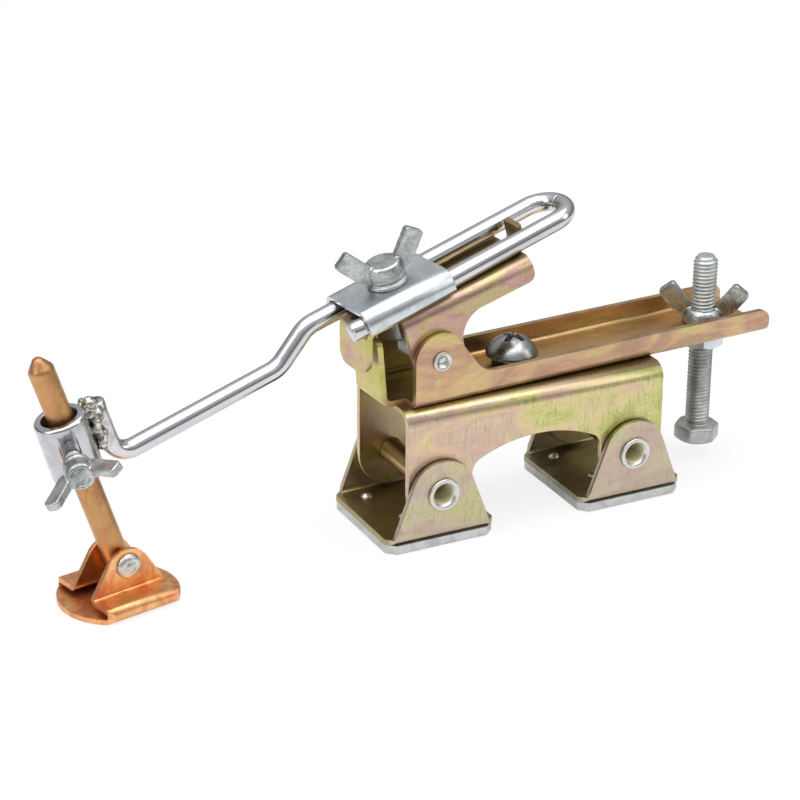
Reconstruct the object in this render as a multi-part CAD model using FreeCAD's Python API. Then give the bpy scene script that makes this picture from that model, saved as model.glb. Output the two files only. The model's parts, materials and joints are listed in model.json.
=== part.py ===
import FreeCAD, Part
import math
import os

# A magnetic welding clamp: two magnet feet, a bridge, a swivelling channel and a spring lever
# that carries a sliding chrome rod with a copper electrode and its copper foot.
# Millimetres, Z up, the ground at Z 0, the origin under the middle of the bridge.

# Working pose
SWIVEL_ANGLE = 3.0
LEVER_TILT = 15.8
ARM_YAW = 3.2
COPPER_YAW = 12.0

# Sheet metal common to the whole clamp
SHEET = 1.9
RUN_GAP = 0.06
ROUND_GAP = 0.3

# Bridge
BRIDGE_LENGTH = 90.0
BRIDGE_WIDTH = 35.6
BRIDGE_TOP = 45.0
BRIDGE_BEND = 5.0
LEG_RADIUS = 11.1
ARCH_TOP = 30.1
ARCH_FLANK = 1.2
ARCH_SLOPE = 24.0
ARCH_CORNER = 5.0

# Magnet feet
PIVOT_HEIGHT = 17.6
MAGNET_LENGTH = 37.2
MAGNET_INSET = 0.3
MAGNET_THICK = 3.0
MAGNET_EDGE = 0.4
CORNER_CUT = 3.0
CORNER_ROUND = 0.8
EAR_GAP = 0.5
EAR_RISE = 10.6
EAR_FOOT = 16.3
EAR_SHOULDER = 7.5
EAR_ROUND = 10.4
EAR_BEND = 2.8
PLATE_RIVET_RADIUS = 1.1
PLATE_RIVET_HEAD = 1.9
PLATE_RIVET_RISE = 1.2
PLATE_RIVET_OUTER = (10.3, 12.4)
PLATE_RIVET_INNER = (6.0, 5.6)

# Hollow pivot rivets
TUBE_OUTER = 3.8
TUBE_BORE = 3.1
TUBE_FLARE = 4.1
TUBE_RIM = 5.2
TUBE_RIM_THICK = 1.1
TUBE_RIM_ROUND = 0.5
TUBE_MOUTH = 1.0

# Swivel screw through channel and bridge
SWIVEL_SHANK = 4.0
SWIVEL_HEAD = 8.25
SWIVEL_RIM = 0.9
SWIVEL_DOME = 5.7
SPACER_RADIUS = 6.2
SPACER_HEIGHT = 3.1
WASHER_RADIUS = 8.0
WASHER_THICK = 1.6
SCREW_TAIL = 3.0
RECESS_HALF = 3.4
RECESS_WIDTH = 1.5
RECESS_DEPTH = 3.0
RECESS_TURN = 30.0

# Channel
CHANNEL_HALF = 14.2
CHANNEL_BEND = 3.2
CHANNEL_FRONT = -42.5
CHANNEL_REAR = 89.0
CHANNEL_DEPTH = 7.9
CHANNEL_RIM_CORNER = 3.5
HINGE_X = -33.6
HINGE_RISE = 14.5
HINGE_EAR_RISE = 9.0
HINGE_EAR_ROUND = 8.8
HINGE_FLANK_ROUND = 7.0
HINGE_FLANK_TOP = -30.0
HINGE_FLANK_FOOT = -18.4
HINGE_FLANK_FILLET = 8.0
TONGUE_HALF = 7.75
TONGUE_FRONT = -50.6
TONGUE_BEND = 3.6
FLANGE_LEAN = 1.75
FLANGE_HEIGHT = 22.0
FLANGE_CORNER = 2.0

# Hinge pin and torsion spring
PIN_RADIUS = 2.5
PIN_HEAD = 3.1
PIN_HEAD_THICK = 0.8
PIN_HEAD_ROUND = 0.4
PIN_DIMPLE = 1.7
PIN_DIMPLE_DEPTH = 1.0
SPRING_WIRE = 0.5
SPRING_RADIUS = 4.1
SPRING_TURNS = 8
SPRING_PITCH = 1.15
SPRING_STEPS = 12
SPRING_FLOOR_REACH = 13.0
SPRING_PLATE_REACH = 16.0

# Upper lever
LEVER_GAP = 0.15
LEVER_TOP = 17.1
LEVER_BEND = 4.0
LEVER_FRONT = -7.95
LEVER_REAR = 38.0
LEVER_EDGE = 9.35
LEVER_REAR_CORNER = 2.5
LOBE_BOTTOM = -8.2
LOBE_ROUND = 7.9
LOBE_REAR = 9.3
LOBE_FILLET = 9.0
LIP_HALF = 8.5
LIP_TOP = -18.6
LIP_END = -22.5
LIP_BOTTOM = 3.3
LIP_BEND = 3.6
LIP_CORNER = 4.5
TAB_NEAR = -2.7
TAB_FAR = 4.5
TAB_BEND_TOP = 41.9
TAB_RISE = 6.5
TAB_CURL = 3.4

# Chrome rod arm
ROD_RADIUS = 3.0
BOLT_PLACE = -4.6
BOLT_SIDE = -0.8
LEG_HALF = 7.8
ARM_SHORT_END = -19.9
ARM_LOOP = 64.3
ARM_JOG_TOP = -26.2
ARM_JOG_FOOT = -38.6
ARM_JOG_ROUND = 9.0
ARM_DROP = 8.0
STUB_GAP = 1.2
STUB_ROUND = 6.6
STUB_HEIGHT = 19.6
STUB_LEAN = 0.6

# Clamp plate over the rod
CLAMP_SHEET = 1.5
PLATE_FRONT = -15.6
PLATE_REAR = 15.4
CURL_CLEAR = 1.8

# Wing screws and bolts
M8_RADIUS = 3.9
M5_RADIUS = 2.4
THREAD_CHAMFER = 1.0
HEX_M8 = 13.0
HEX_SIDES = 6
NUT_M8 = 6.5
WING_BOLT_TAIL = 2.7
WING_BOLT_TURN = -8.0
WING_SLOPE = 52.0
WING_CORNER = 0.9
WING_ELBOW = 8.0
WING_ROOT = 1.5
WING_HUB = 7.2
WING_FLANGE = 6.4
WING_CROWN = 5.5
WING_REACH = 14.8
WING_RISE = 15.0
WING_BLADE = 6.1
WING_THICK = 2.6
SMALL_ELBOW = 5.0
SMALL_HUB = 7.0
SMALL_FLANGE = 4.3
SMALL_CROWN = 3.8
SMALL_REACH = 12.4
SMALL_RISE = 14.4
SMALL_BLADE = 4.6
SMALL_THICK = 2.5
SMALL_DIMPLE = 2.6
SMALL_DIMPLE_DEPTH = 1.0
FLANGE_THICK = 1.5
FLANGE_ROUND = 0.4
CROWN_ROUND = 0.8
SHANK_ROOT = 1.0

# Collar, weld and electrode
COLLAR_PLACE = -107.2
COLLAR_WALL = 2.3
BORE_PLAY = 1.55
COLLAR_RAISE = 1.0
COLLAR_HEIGHT = 19.6
COLLAR_CHAMFER = 0.7
BEAD_LUMP = 2.1
BEAD_SIDE = 2.6
BEAD_LUMPS = 5
BEAD_STEP = 2.9
BEAD_RAISE = 6.2
COLLAR_SCREW_RAISE = 9.6
COLLAR_SCREW_YAW = 17.0
COLLAR_SCREW_TURN = 12.0
COLLAR_SCREW_STANDOFF = 4.9
COLLAR_SCREW_GAP = 0.1
COPPER_RADIUS = 3.85
COPPER_OFFSET = 0.68
COPPER_LEAN = -1.51
COPPER_SLANT = 1.18
COPPER_LENGTH = 70.4
PIVOT_LEVEL = 12.4
COPPER_POINT = 3.6
COPPER_FLAT = 1.3
COPPER_FLAT_ROUND = 0.6
COPPER_SHOULDER = 1.5
COPPER_END = 5.0
COPPER_END_ROUND = 1.5

# Copper foot
COPPER_SHEET = 1.6
COPPER_DISC = 18.2
COPPER_HEM_SIDE = 14.9
COPPER_HEM_HEIGHT = 4.6
COPPER_HEM_ROUND = 2.2
COPPER_EAR_PLAY = 0.55
COPPER_EAR_FOOT = 12.2
COPPER_EAR_PEAK = 24.2
COPPER_EAR_ROUND = 7.5
COPPER_BEND = 2.2
COPPER_RIVET = 1.9
COPPER_RIVET_HEAD = 3.9
COPPER_RIVET_RISE = 1.8
COPPER_RIVET_RIM = 0.4

# Jack bolt at the tail
JACK_INSET = 16.0
JACK_LOW = 5.6
JACK_HEAD = 5.3
JACK_HEAD_TURN = 36.0
JACK_NUT = 5.6
JACK_LENGTH = 64.0
JACK_WING_HUB = 5.0
JACK_WING_RISE = 13.6
JACK_WING_TURN = -38.0

# Directions and frames
V = FreeCAD.Vector
ORIGIN = V(0, 0, 0)
ALONG = V(1, 0, 0)
ACROSS = V(0, 1, 0)
UP = V(0, 0, 1)
TINY = 0.000001
FULL_TURN = 360.0
QUARTER_TURN = FULL_TURN / 4


def frame_at(point, axis, angle):
    return FreeCAD.Placement(point, FreeCAD.Rotation(axis, angle))


world = FreeCAD.Placement()
hinge_z = BRIDGE_TOP + HINGE_RISE
channel_frame = frame_at(ORIGIN, UP, SWIVEL_ANGLE)
hinge_frame = channel_frame.multiply(frame_at(V(HINGE_X, 0, hinge_z), UP, 0))
lever_frame = hinge_frame.multiply(frame_at(ORIGIN, ACROSS, -LEVER_TILT))
arm_frame = lever_frame.multiply(frame_at(V(BOLT_PLACE, BOLT_SIDE, 0), UP, ARM_YAW))

# The rod lies on the lever, its long arm lower and its collar round the leaning electrode
rod_axis = LEVER_TOP + ROUND_GAP + ROD_RADIUS
arm_low = rod_axis - ARM_DROP
collar_bore = COPPER_RADIUS + BORE_PLAY
collar_outer = collar_bore + COLLAR_WALL
collar_low = arm_low + COLLAR_RAISE
collar_frame = arm_frame.multiply(frame_at(V(COLLAR_PLACE, LEG_HALF, collar_low), UP, 0))
collar_middle = V(COPPER_OFFSET, 0, COLLAR_HEIGHT / 2)
electrode_frame = collar_frame.multiply(frame_at(collar_middle, ACROSS, COPPER_LEAN))
electrode_frame = electrode_frame.multiply(frame_at(ORIGIN, ALONG, -COPPER_SLANT))
electrode_axis = electrode_frame.Rotation.multVec(UP)
electrode_drop = (electrode_frame.Base.z - PIVOT_LEVEL) / electrode_axis.z
copper_pivot = electrode_frame.Base - electrode_axis * electrode_drop
copper_frame = frame_at(V(copper_pivot.x, copper_pivot.y, 0), UP, COPPER_YAW)


# Drawing helpers
def rounded_path(corners, closed):
    """A wire of lines and arcs through corners given as (point, radius)."""
    count = len(corners)
    marks = []
    for index, (point, radius) in enumerate(corners):
        inner = closed or 0 < index < count - 1
        if radius < TINY or not inner:
            marks.append((point, None, point))
            continue
        back = (corners[index - 1][0] - point).normalize()
        ahead = (corners[(index + 1) % count][0] - point).normalize()
        half = back.getAngle(ahead) / 2
        reach = radius / math.tan(half)
        middle = (back + ahead).normalize()
        crown = point + middle * (radius / math.sin(half) - radius)
        marks.append((point + back * reach, crown, point + ahead * reach))
    edges = []
    for index, (start, crown, end) in enumerate(marks):
        if crown is not None:
            edges.append(Part.Arc(start, crown, end).toShape())
        if index == count - 1 and not closed:
            break
        following = marks[(index + 1) % count][0]
        if end.distanceToPoint(following) > TINY:
            edges.append(Part.makeLine(end, following))
    return Part.Wire(edges)


def side_slab(corners, start, end):
    """A slab drawn in X and Z, from one Y to another."""
    wire = rounded_path([(V(x, start, z), r) for x, z, r in corners], True)
    return Part.Face(wire).extrude(ACROSS * (end - start))


def end_slab(corners, start, end):
    """A slab drawn in Y and Z, from one X to another."""
    wire = rounded_path([(V(start, y, z), r) for y, z, r in corners], True)
    return Part.Face(wire).extrude(ALONG * (end - start))


def flat_slab(corners, start, end):
    """A slab drawn in X and Y, from one Z to another."""
    wire = rounded_path([(V(x, y, start), r) for x, y, r in corners], True)
    return Part.Face(wire).extrude(UP * (end - start))


def turned(corners):
    """A body turned about Z from a profile of radius and height."""
    wire = rounded_path([(V(r, 0, z), c) for r, z, c in corners], True)
    return Part.Face(wire).revolve(ORIGIN, UP, FULL_TURN)


def mirrored(corners, peak=()):
    """A left outline, a peak in the middle if there is one, and the outline's mirror image."""
    return corners + list(peak) + [(-x, z, r) for x, z, r in reversed(corners)]


def u_section(half, web, rim, sheet, bend):
    """The bent section of a U whose web outer face is at height web."""
    turn = 1 if web > rim else -1
    inner_web = web - turn * sheet
    outer = mirrored([(-half, rim, 0), (-half, web, bend)])
    inner = mirrored([(half - sheet, rim, 0), (half - sheet, inner_web, bend - sheet)])
    return outer + inner


def cross_bore(radius, reach, x, z):
    return Part.makeCylinder(radius, 2 * reach, V(x, -reach, z), ACROSS)


def hexagon(across_flats, start, end):
    flat = across_flats / 2
    step = 2 * math.pi / HEX_SIDES
    corner = flat / math.cos(step / 2)
    angles = [step * index for index in range(HEX_SIDES)]
    prism = flat_slab([(corner * math.cos(a), corner * math.sin(a), 0) for a in angles], start, end)
    bevel = turned([
        (0, start, 0), (flat, start, 0), (corner, start + corner - flat, 0),
        (corner, end - corner + flat, 0), (flat, end, 0), (0, end, 0)])
    return prism.common(bevel)


def stud(radius, start, end):
    """A plain threaded shank with a chamfer at its far end."""
    step = math.copysign(THREAD_CHAMFER, end - start)
    return turned([
        (0, start, 0), (radius, start, 0), (radius, end - step, 0),
        (radius - THREAD_CHAMFER, end, 0), (0, end, 0)])


def winged_hub(low, hub, flange, crown, reach, rise, blade, thick, elbow):
    """A cast hub standing at height low along Z, with two slanted blades."""
    hub_top = low + hub
    flange_top = low + FLANGE_THICK
    core = turned([
        (0, low, 0), (flange, low, FLANGE_ROUND), (flange, flange_top, FLANGE_ROUND),
        ((crown + flange) / 2, flange_top, 0), (crown, hub_top, CROWN_ROUND), (0, hub_top, 0)])
    slant = math.radians(WING_SLOPE)
    tip_x = reach - blade * math.sin(slant)
    tip_z = low + rise - blade * math.cos(slant)
    elbow_x = reach - (tip_z - flange_top) / math.tan(slant)
    root_x = tip_x - (rise - hub) / math.tan(slant)
    wing = side_slab([
        (0, flange_top, 0), (elbow_x, flange_top, elbow), (reach, tip_z, WING_CORNER),
        (tip_x, low + rise, WING_CORNER), (root_x, hub_top, WING_ROOT), (0, hub_top, 0)],
        -thick / 2, thick / 2)
    other = wing.copy()
    other.rotate(ORIGIN, UP, FULL_TURN / 2)
    return core.fuse([wing, other]).removeSplitter()


def domed(radius, rise, rim, base):
    """A round head with a spherical dome, its flat side at height base."""
    ball = (radius ** 2 + rise ** 2) / (2 * rise)
    sphere = Part.makeSphere(ball, V(0, 0, base + rim + rise - ball))
    return sphere.common(Part.makeCylinder(radius, rim + rise, V(0, 0, base)))


pieces = {}


def keep(name, shape, frame):
    """Stores a finished piece in its working place."""
    placed = shape.copy()
    placed.Placement = frame.multiply(placed.Placement)
    pieces[name] = placed


# Bridge: an inverted U with an arch cut in both walls and round legs
half_length = BRIDGE_LENGTH / 2
leg_middle = half_length - LEG_RADIUS
leg_inside = leg_middle - LEG_RADIUS
leg_bottom = PIVOT_HEIGHT - LEG_RADIUS
leg_round = LEG_RADIUS - RUN_GAP
slope = math.radians(ARCH_SLOPE)
corner_reach = ARCH_CORNER / math.tan(math.pi / 4 + slope / 2)
arch_radius = (leg_inside / math.cos(slope) - corner_reach - ARCH_FLANK) / math.tan(slope)
arch_peak = ARCH_TOP - arch_radius + arch_radius / math.cos(slope)
arch_shoulder = arch_peak - leg_inside * math.tan(slope)
ear_outer = BRIDGE_WIDTH / 2 + EAR_GAP + SHEET
bridge_section = u_section(BRIDGE_WIDTH / 2, BRIDGE_TOP, 0, SHEET, BRIDGE_BEND)
bridge_side = mirrored([
    (-half_length, BRIDGE_TOP, 0), (-half_length, leg_bottom, leg_round),
    (-leg_inside, leg_bottom, leg_round), (-leg_inside, arch_shoulder, ARCH_CORNER)],
    [(0, arch_peak, arch_radius)])
bridge = end_slab(bridge_section, -half_length, half_length)
bridge = bridge.common(side_slab(bridge_side, -ear_outer, ear_outer))
for side in (-1, 1):
    bridge = bridge.cut(cross_bore(TUBE_OUTER + RUN_GAP, ear_outer, side * leg_middle, PIVOT_HEIGHT))
bridge = bridge.cut(Part.makeCylinder(SWIVEL_SHANK, BRIDGE_TOP, ORIGIN))
keep("bridge", bridge, world)

# Magnet feet: a bent bracket riveted on a ferrite and steel plate
magnet_half_x = MAGNET_LENGTH / 2
magnet_half_y = ear_outer - MAGNET_INSET
magnet_outline = mirrored([
    (-magnet_half_x + CORNER_CUT, -magnet_half_y, CORNER_ROUND),
    (-magnet_half_x, -magnet_half_y + CORNER_CUT, CORNER_ROUND),
    (-magnet_half_x, magnet_half_y - CORNER_CUT, CORNER_ROUND),
    (-magnet_half_x + CORNER_CUT, magnet_half_y, CORNER_ROUND)])
bracket_floor = MAGNET_THICK + SHEET
ear_top = PIVOT_HEIGHT + EAR_RISE
bracket_section = u_section(ear_outer, MAGNET_THICK, ear_top, SHEET, EAR_BEND)
bracket_side = mirrored([
    (-magnet_half_x, MAGNET_THICK, 0), (-magnet_half_x, bracket_floor, 0), (-EAR_FOOT, bracket_floor, 0),
    (-EAR_SHOULDER, ear_top, EAR_ROUND)])
bracket = end_slab(bracket_section, -magnet_half_x, magnet_half_x)
bracket = bracket.common(side_slab(bracket_side, -ear_outer, ear_outer))
bracket_trim = [(x, y * ear_outer / magnet_half_y, 0) for x, y, r in magnet_outline]
bracket = bracket.common(flat_slab(bracket_trim, 0, ear_top))
bracket = bracket.cut(cross_bore(TUBE_OUTER, ear_outer, 0, PIVOT_HEIGHT))
magnet = flat_slab(magnet_outline, 0, MAGNET_THICK)
magnet = magnet.makeChamfer(MAGNET_EDGE, [e for e in magnet.Edges if e.BoundBox.ZMax < TINY])
tube_end = ear_outer + TUBE_RIM_THICK
tube = turned([
    (TUBE_FLARE, -tube_end, 0), (TUBE_RIM, -tube_end, TUBE_RIM_ROUND), (TUBE_RIM, -ear_outer, 0),
    (TUBE_OUTER, -ear_outer, 0), (TUBE_OUTER, ear_outer, 0), (TUBE_RIM, ear_outer, 0),
    (TUBE_RIM, tube_end, TUBE_RIM_ROUND), (TUBE_FLARE, tube_end, 0),
    (TUBE_BORE, ear_outer, TUBE_MOUTH), (TUBE_BORE, -ear_outer, TUBE_MOUTH)])
tube.rotate(ORIGIN, ALONG, QUARTER_TURN)
tube.translate(UP * PIVOT_HEIGHT)
plate_rivet = domed(PLATE_RIVET_HEAD, PLATE_RIVET_RISE, 0, bracket_floor)
rivet_base = 2 * MAGNET_EDGE
rivet_shank = Part.makeCylinder(PLATE_RIVET_RADIUS, bracket_floor - rivet_base, UP * rivet_base)
plate_rivet = plate_rivet.fuse(rivet_shank)
plate_rivets = []
for turn in (-1, 1):
    for x, y in ((PLATE_RIVET_OUTER[0], -PLATE_RIVET_OUTER[1]), PLATE_RIVET_INNER):
        rivet = plate_rivet.copy()
        rivet.translate(V(turn * x, turn * y, 0))
        plate_rivets.append(rivet)
        rivet_hole = Part.makeCylinder(PLATE_RIVET_RADIUS, bracket_floor, V(turn * x, turn * y, rivet_base))
        bracket = bracket.cut(rivet_hole)
        magnet = magnet.cut(rivet_hole)
for side, name in ((-1, "left"), (1, "right")):
    foot_frame = frame_at(ALONG * side * leg_middle, UP, 0)
    keep("foot_bracket_" + name, bracket, foot_frame)
    keep("foot_magnet_" + name, magnet, foot_frame)
    keep("foot_rivets_" + name, Part.makeCompound(plate_rivets), foot_frame)
    keep("pivot_tube_" + name, tube, foot_frame)

# Swivel screw with its spacer, washer and nut
floor_top = BRIDGE_TOP + SHEET
head_base = floor_top + SPACER_HEIGHT
bridge_under = BRIDGE_TOP - SHEET
washer_base = bridge_under - WASHER_THICK
nut_base = washer_base - NUT_M8
screw = domed(SWIVEL_HEAD, SWIVEL_DOME, SWIVEL_RIM, head_base)
recess_top = head_base + SWIVEL_RIM + SWIVEL_DOME
for angle in (RECESS_TURN, RECESS_TURN + QUARTER_TURN):
    slot = side_slab(mirrored([
        (-RECESS_WIDTH / 2, recess_top - RECESS_DEPTH, 0), (-RECESS_HALF, recess_top + TINY, 0)]),
        -RECESS_WIDTH / 2, RECESS_WIDTH / 2)
    slot.rotate(ORIGIN, UP, angle)
    screw = screw.cut(slot)
screw = screw.fuse(stud(SWIVEL_SHANK, head_base, nut_base - SCREW_TAIL))
keep("swivel_screw", screw, world)
swivel_bore = Part.makeCylinder(SWIVEL_SHANK, head_base, ORIGIN)
spacer = Part.makeCylinder(SPACER_RADIUS, SPACER_HEIGHT, UP * floor_top)
washer = Part.makeCylinder(WASHER_RADIUS, WASHER_THICK, UP * washer_base)
keep("swivel_spacer", spacer.cut(swivel_bore), world)
keep("swivel_washer", washer.cut(swivel_bore), world)
keep("swivel_nut", hexagon(HEX_M8, nut_base, washer_base).cut(swivel_bore), world)

# Channel: a U open upwards with hinge ears, a front tongue and a bent flange
channel_rim = BRIDGE_TOP + CHANNEL_DEPTH
hinge_ear_top = hinge_z + HINGE_EAR_RISE
flange_top = BRIDGE_TOP + FLANGE_HEIGHT
jack_place = CHANNEL_REAR - JACK_INSET
channel_section = u_section(CHANNEL_HALF, BRIDGE_TOP, hinge_ear_top, SHEET, CHANNEL_BEND)
channel_side = [
    (CHANNEL_FRONT, BRIDGE_TOP, 0), (CHANNEL_FRONT, hinge_ear_top, HINGE_EAR_ROUND),
    (HINGE_FLANK_TOP, hinge_ear_top, HINGE_FLANK_ROUND), (HINGE_FLANK_FOOT, channel_rim, HINGE_FLANK_FILLET),
    (CHANNEL_REAR, channel_rim, CHANNEL_RIM_CORNER), (CHANNEL_REAR, BRIDGE_TOP, 0)]
channel = end_slab(channel_section, CHANNEL_FRONT, CHANNEL_REAR)
channel = channel.common(side_slab(channel_side, -CHANNEL_HALF, CHANNEL_HALF))
flange_front = TONGUE_FRONT - FLANGE_LEAN
tongue = side_slab([
    (CHANNEL_FRONT + SHEET, BRIDGE_TOP, 0), (TONGUE_FRONT, BRIDGE_TOP, TONGUE_BEND),
    (flange_front, flange_top, 0), (flange_front + SHEET, flange_top, 0),
    (TONGUE_FRONT + SHEET, floor_top, TONGUE_BEND - SHEET),
    (CHANNEL_FRONT + SHEET, floor_top, 0)], -TONGUE_HALF, TONGUE_HALF)
tongue = tongue.common(end_slab(mirrored([
    (-TONGUE_HALF, BRIDGE_TOP, 0), (-TONGUE_HALF, flange_top, FLANGE_CORNER)]), flange_front, CHANNEL_REAR))
channel = channel.fuse(tongue).removeSplitter()
channel = channel.cut(Part.makeCylinder(SWIVEL_SHANK + RUN_GAP, BRIDGE_TOP * 2, ORIGIN))
channel = channel.cut(Part.makeCylinder(M8_RADIUS + RUN_GAP, BRIDGE_TOP * 2, ALONG * jack_place))
channel = channel.cut(cross_bore(PIN_RADIUS, CHANNEL_HALF, HINGE_X, hinge_z))
keep("channel", channel, channel_frame)

# Hinge pin with a dimpled head formed at each end
pin_end = CHANNEL_HALF + PIN_HEAD_THICK
dimple_end = pin_end - PIN_DIMPLE_DEPTH
pin = turned([
    (0, -dimple_end, 0), (PIN_DIMPLE, -pin_end, 0), (PIN_HEAD, -pin_end, PIN_HEAD_ROUND),
    (PIN_HEAD, -CHANNEL_HALF, 0), (PIN_RADIUS, -CHANNEL_HALF, 0), (PIN_RADIUS, CHANNEL_HALF, 0),
    (PIN_HEAD, CHANNEL_HALF, 0), (PIN_HEAD, pin_end, PIN_HEAD_ROUND),
    (PIN_DIMPLE, pin_end, 0), (0, dimple_end, 0)])
pin.rotate(ORIGIN, ALONG, QUARTER_TURN)
keep("hinge_pin", pin, hinge_frame)

# Torsion spring round the pin, one leg on the channel floor and one under the lever
spring_rest = floor_top + SPRING_WIRE + ROUND_GAP - hinge_z
tilt = math.radians(LEVER_TILT)
plate_under = LEVER_TOP - SHEET
plate_leg_height = plate_under - SPRING_WIRE - ROUND_GAP
plate_leg = V(
    SPRING_PLATE_REACH * math.cos(tilt) - plate_leg_height * math.sin(tilt), 0,
    SPRING_PLATE_REACH * math.sin(tilt) + plate_leg_height * math.cos(tilt))
floor_leg = V(SPRING_FLOOR_REACH, 0, spring_rest)


def tangent_angle(point):
    """The angle on the coil where a straight leg leaves towards a point."""
    distance = math.hypot(point.x, point.z)
    return math.atan2(point.z, point.x), math.acos(SPRING_RADIUS / distance)


def coil_point(angle, side):
    return V(SPRING_RADIUS * math.cos(angle), side, SPRING_RADIUS * math.sin(angle))


floor_direction, floor_offset = tangent_angle(floor_leg)
plate_direction, plate_offset = tangent_angle(plate_leg)
coil_start = floor_direction - floor_offset
coil_end = plate_direction + plate_offset - 2 * math.pi * SPRING_TURNS
coil_width = SPRING_PITCH * SPRING_TURNS
coil_side = coil_width / 2
steps = SPRING_STEPS * SPRING_TURNS
coil_points = []
for index in range(steps + 1):
    share = index / steps
    angle = coil_start + (coil_end - coil_start) * share
    coil_points.append(coil_point(angle, coil_side - coil_width * share))
coil_curve = Part.BSplineCurve()
coil_curve.interpolate(coil_points)
floor_leg.y = coil_side
plate_leg.y = -coil_side
coil_wire = Part.Wire([coil_curve.toShape()])
coil_tangent = coil_curve.tangent(coil_curve.FirstParameter)[0]
coil_ring = Part.Wire([Part.Circle(coil_points[0], coil_tangent, SPRING_WIRE).toShape()])
coil = coil_wire.makePipeShell([coil_ring], True, False)


def straight_leg(start, end):
    return Part.makeCylinder(SPRING_WIRE, start.distanceToPoint(end), start, end - start)


spring = coil.fuse([
    straight_leg(coil_points[0], floor_leg), straight_leg(coil_points[-1], plate_leg),
    Part.makeSphere(SPRING_WIRE, coil_points[0]), Part.makeSphere(SPRING_WIRE, coil_points[-1])])
keep("torsion_spring", spring, hinge_frame)

# Upper lever: an inverted U with hinge lobes, a front lip and a rear guide tab
lever_half = CHANNEL_HALF - SHEET - LEVER_GAP
lever_section = u_section(lever_half, LEVER_TOP, LOBE_BOTTOM, SHEET, LEVER_BEND)
lever_side = [
    (LEVER_FRONT, LEVER_TOP, 0), (LEVER_REAR, LEVER_TOP, 0), (LEVER_REAR, LEVER_EDGE, LEVER_REAR_CORNER),
    (LOBE_REAR, LEVER_EDGE, LOBE_FILLET), (LOBE_REAR, LOBE_BOTTOM, LOBE_ROUND),
    (LEVER_FRONT, LOBE_BOTTOM, LOBE_ROUND)]
lever = end_slab(lever_section, LEVER_FRONT, LEVER_REAR)
lever = lever.common(side_slab(lever_side, -lever_half, lever_half))
lip_slope = (LIP_TOP - LIP_END) / (LEVER_TOP - LIP_BOTTOM)
lip_offset = SHEET * math.sqrt(1 + lip_slope ** 2)
lip_inner = LIP_TOP + lip_offset - SHEET * lip_slope
lip = side_slab([
    (LEVER_FRONT + SHEET, LEVER_TOP, 0), (LIP_TOP, LEVER_TOP, LIP_BEND), (LIP_END, LIP_BOTTOM, 0),
    (LIP_END + lip_offset, LIP_BOTTOM, 0), (lip_inner, plate_under, LIP_BEND - SHEET),
    (LEVER_FRONT + SHEET, plate_under, 0)], -LIP_HALF, LIP_HALF)
lip = lip.common(end_slab(mirrored([
    (-LIP_HALF, LIP_BOTTOM, LIP_CORNER), (-LIP_HALF, LEVER_TOP, 0)]), LIP_END, LEVER_REAR))
tab_top = LEVER_TOP + TAB_RISE
tab_inner = TAB_BEND_TOP - SHEET
tab = side_slab([
    (LEVER_REAR - SHEET, plate_under, 0), (TAB_BEND_TOP, plate_under, TAB_CURL + SHEET),
    (TAB_BEND_TOP, tab_top, 0), (tab_inner, tab_top, 0), (tab_inner, LEVER_TOP, TAB_CURL - SHEET),
    (LEVER_REAR - SHEET, LEVER_TOP, 0)], TAB_NEAR, TAB_FAR)
lever = lever.fuse([lip, tab]).removeSplitter()
lever = lever.cut(cross_bore(PIN_RADIUS + RUN_GAP, lever_half, 0, 0))
lever = lever.cut(Part.makeCylinder(M8_RADIUS + RUN_GAP, LEVER_TOP * 2, V(BOLT_PLACE, BOLT_SIDE, 0)))
keep("lever", lever, lever_frame)

# Clamp plate with both long edges curled round the rod
curl_inner = ROD_RADIUS + ROUND_GAP
curl_outer = curl_inner + CLAMP_SHEET
plate_top = rod_axis + curl_outer
curl_bottom = LEVER_TOP + CURL_CLEAR
clamp_section = u_section(LEG_HALF + curl_outer, plate_top, curl_bottom, CLAMP_SHEET, curl_outer)
clamp = end_slab(clamp_section, PLATE_FRONT, PLATE_REAR)
clamp = clamp.cut(Part.makeCylinder(M8_RADIUS + RUN_GAP, plate_top * 2, ORIGIN))
keep("clamp_plate", clamp, arm_frame)

# Wing bolt and its nut under the lever
wing_bolt = winged_hub(
    plate_top, WING_HUB, WING_FLANGE, WING_CROWN, WING_REACH, WING_RISE,
    WING_BLADE, WING_THICK, WING_ELBOW)
wing_bolt_end = plate_under - NUT_M8 - WING_BOLT_TAIL
wing_bolt = wing_bolt.fuse(stud(M8_RADIUS, plate_top + SHANK_ROOT, wing_bolt_end))
keep("wing_bolt", wing_bolt, arm_frame.multiply(frame_at(ORIGIN, UP, WING_BOLT_TURN)))
bolt_thread = Part.makeCylinder(M8_RADIUS + RUN_GAP, LEVER_TOP, ORIGIN)
bolt_nut = hexagon(HEX_M8, plate_under - NUT_M8, plate_under).cut(bolt_thread)
keep("wing_bolt_nut", bolt_nut, arm_frame)

# Chrome rod: hairpin over the lever, jog down, long arm and upright stub
stub_place = COLLAR_PLACE + collar_outer + ROD_RADIUS + STUB_GAP
stub_top = arm_low + STUB_HEIGHT
arm_path = rounded_path([
    (V(ARM_SHORT_END, -LEG_HALF, rod_axis), 0), (V(ARM_LOOP, -LEG_HALF, rod_axis), LEG_HALF),
    (V(ARM_LOOP, LEG_HALF, rod_axis), LEG_HALF), (V(ARM_JOG_TOP, LEG_HALF, rod_axis), ARM_JOG_ROUND),
    (V(ARM_JOG_FOOT, LEG_HALF, arm_low), ARM_JOG_ROUND), (V(stub_place, LEG_HALF, arm_low), STUB_ROUND),
    (V(stub_place - STUB_LEAN, LEG_HALF, stub_top), 0)], False)
rod_circle = Part.Circle(V(ARM_SHORT_END, -LEG_HALF, rod_axis), ALONG, ROD_RADIUS)
arm = arm_path.makePipeShell([Part.Wire([rod_circle.toShape()])], True, False)
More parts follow.
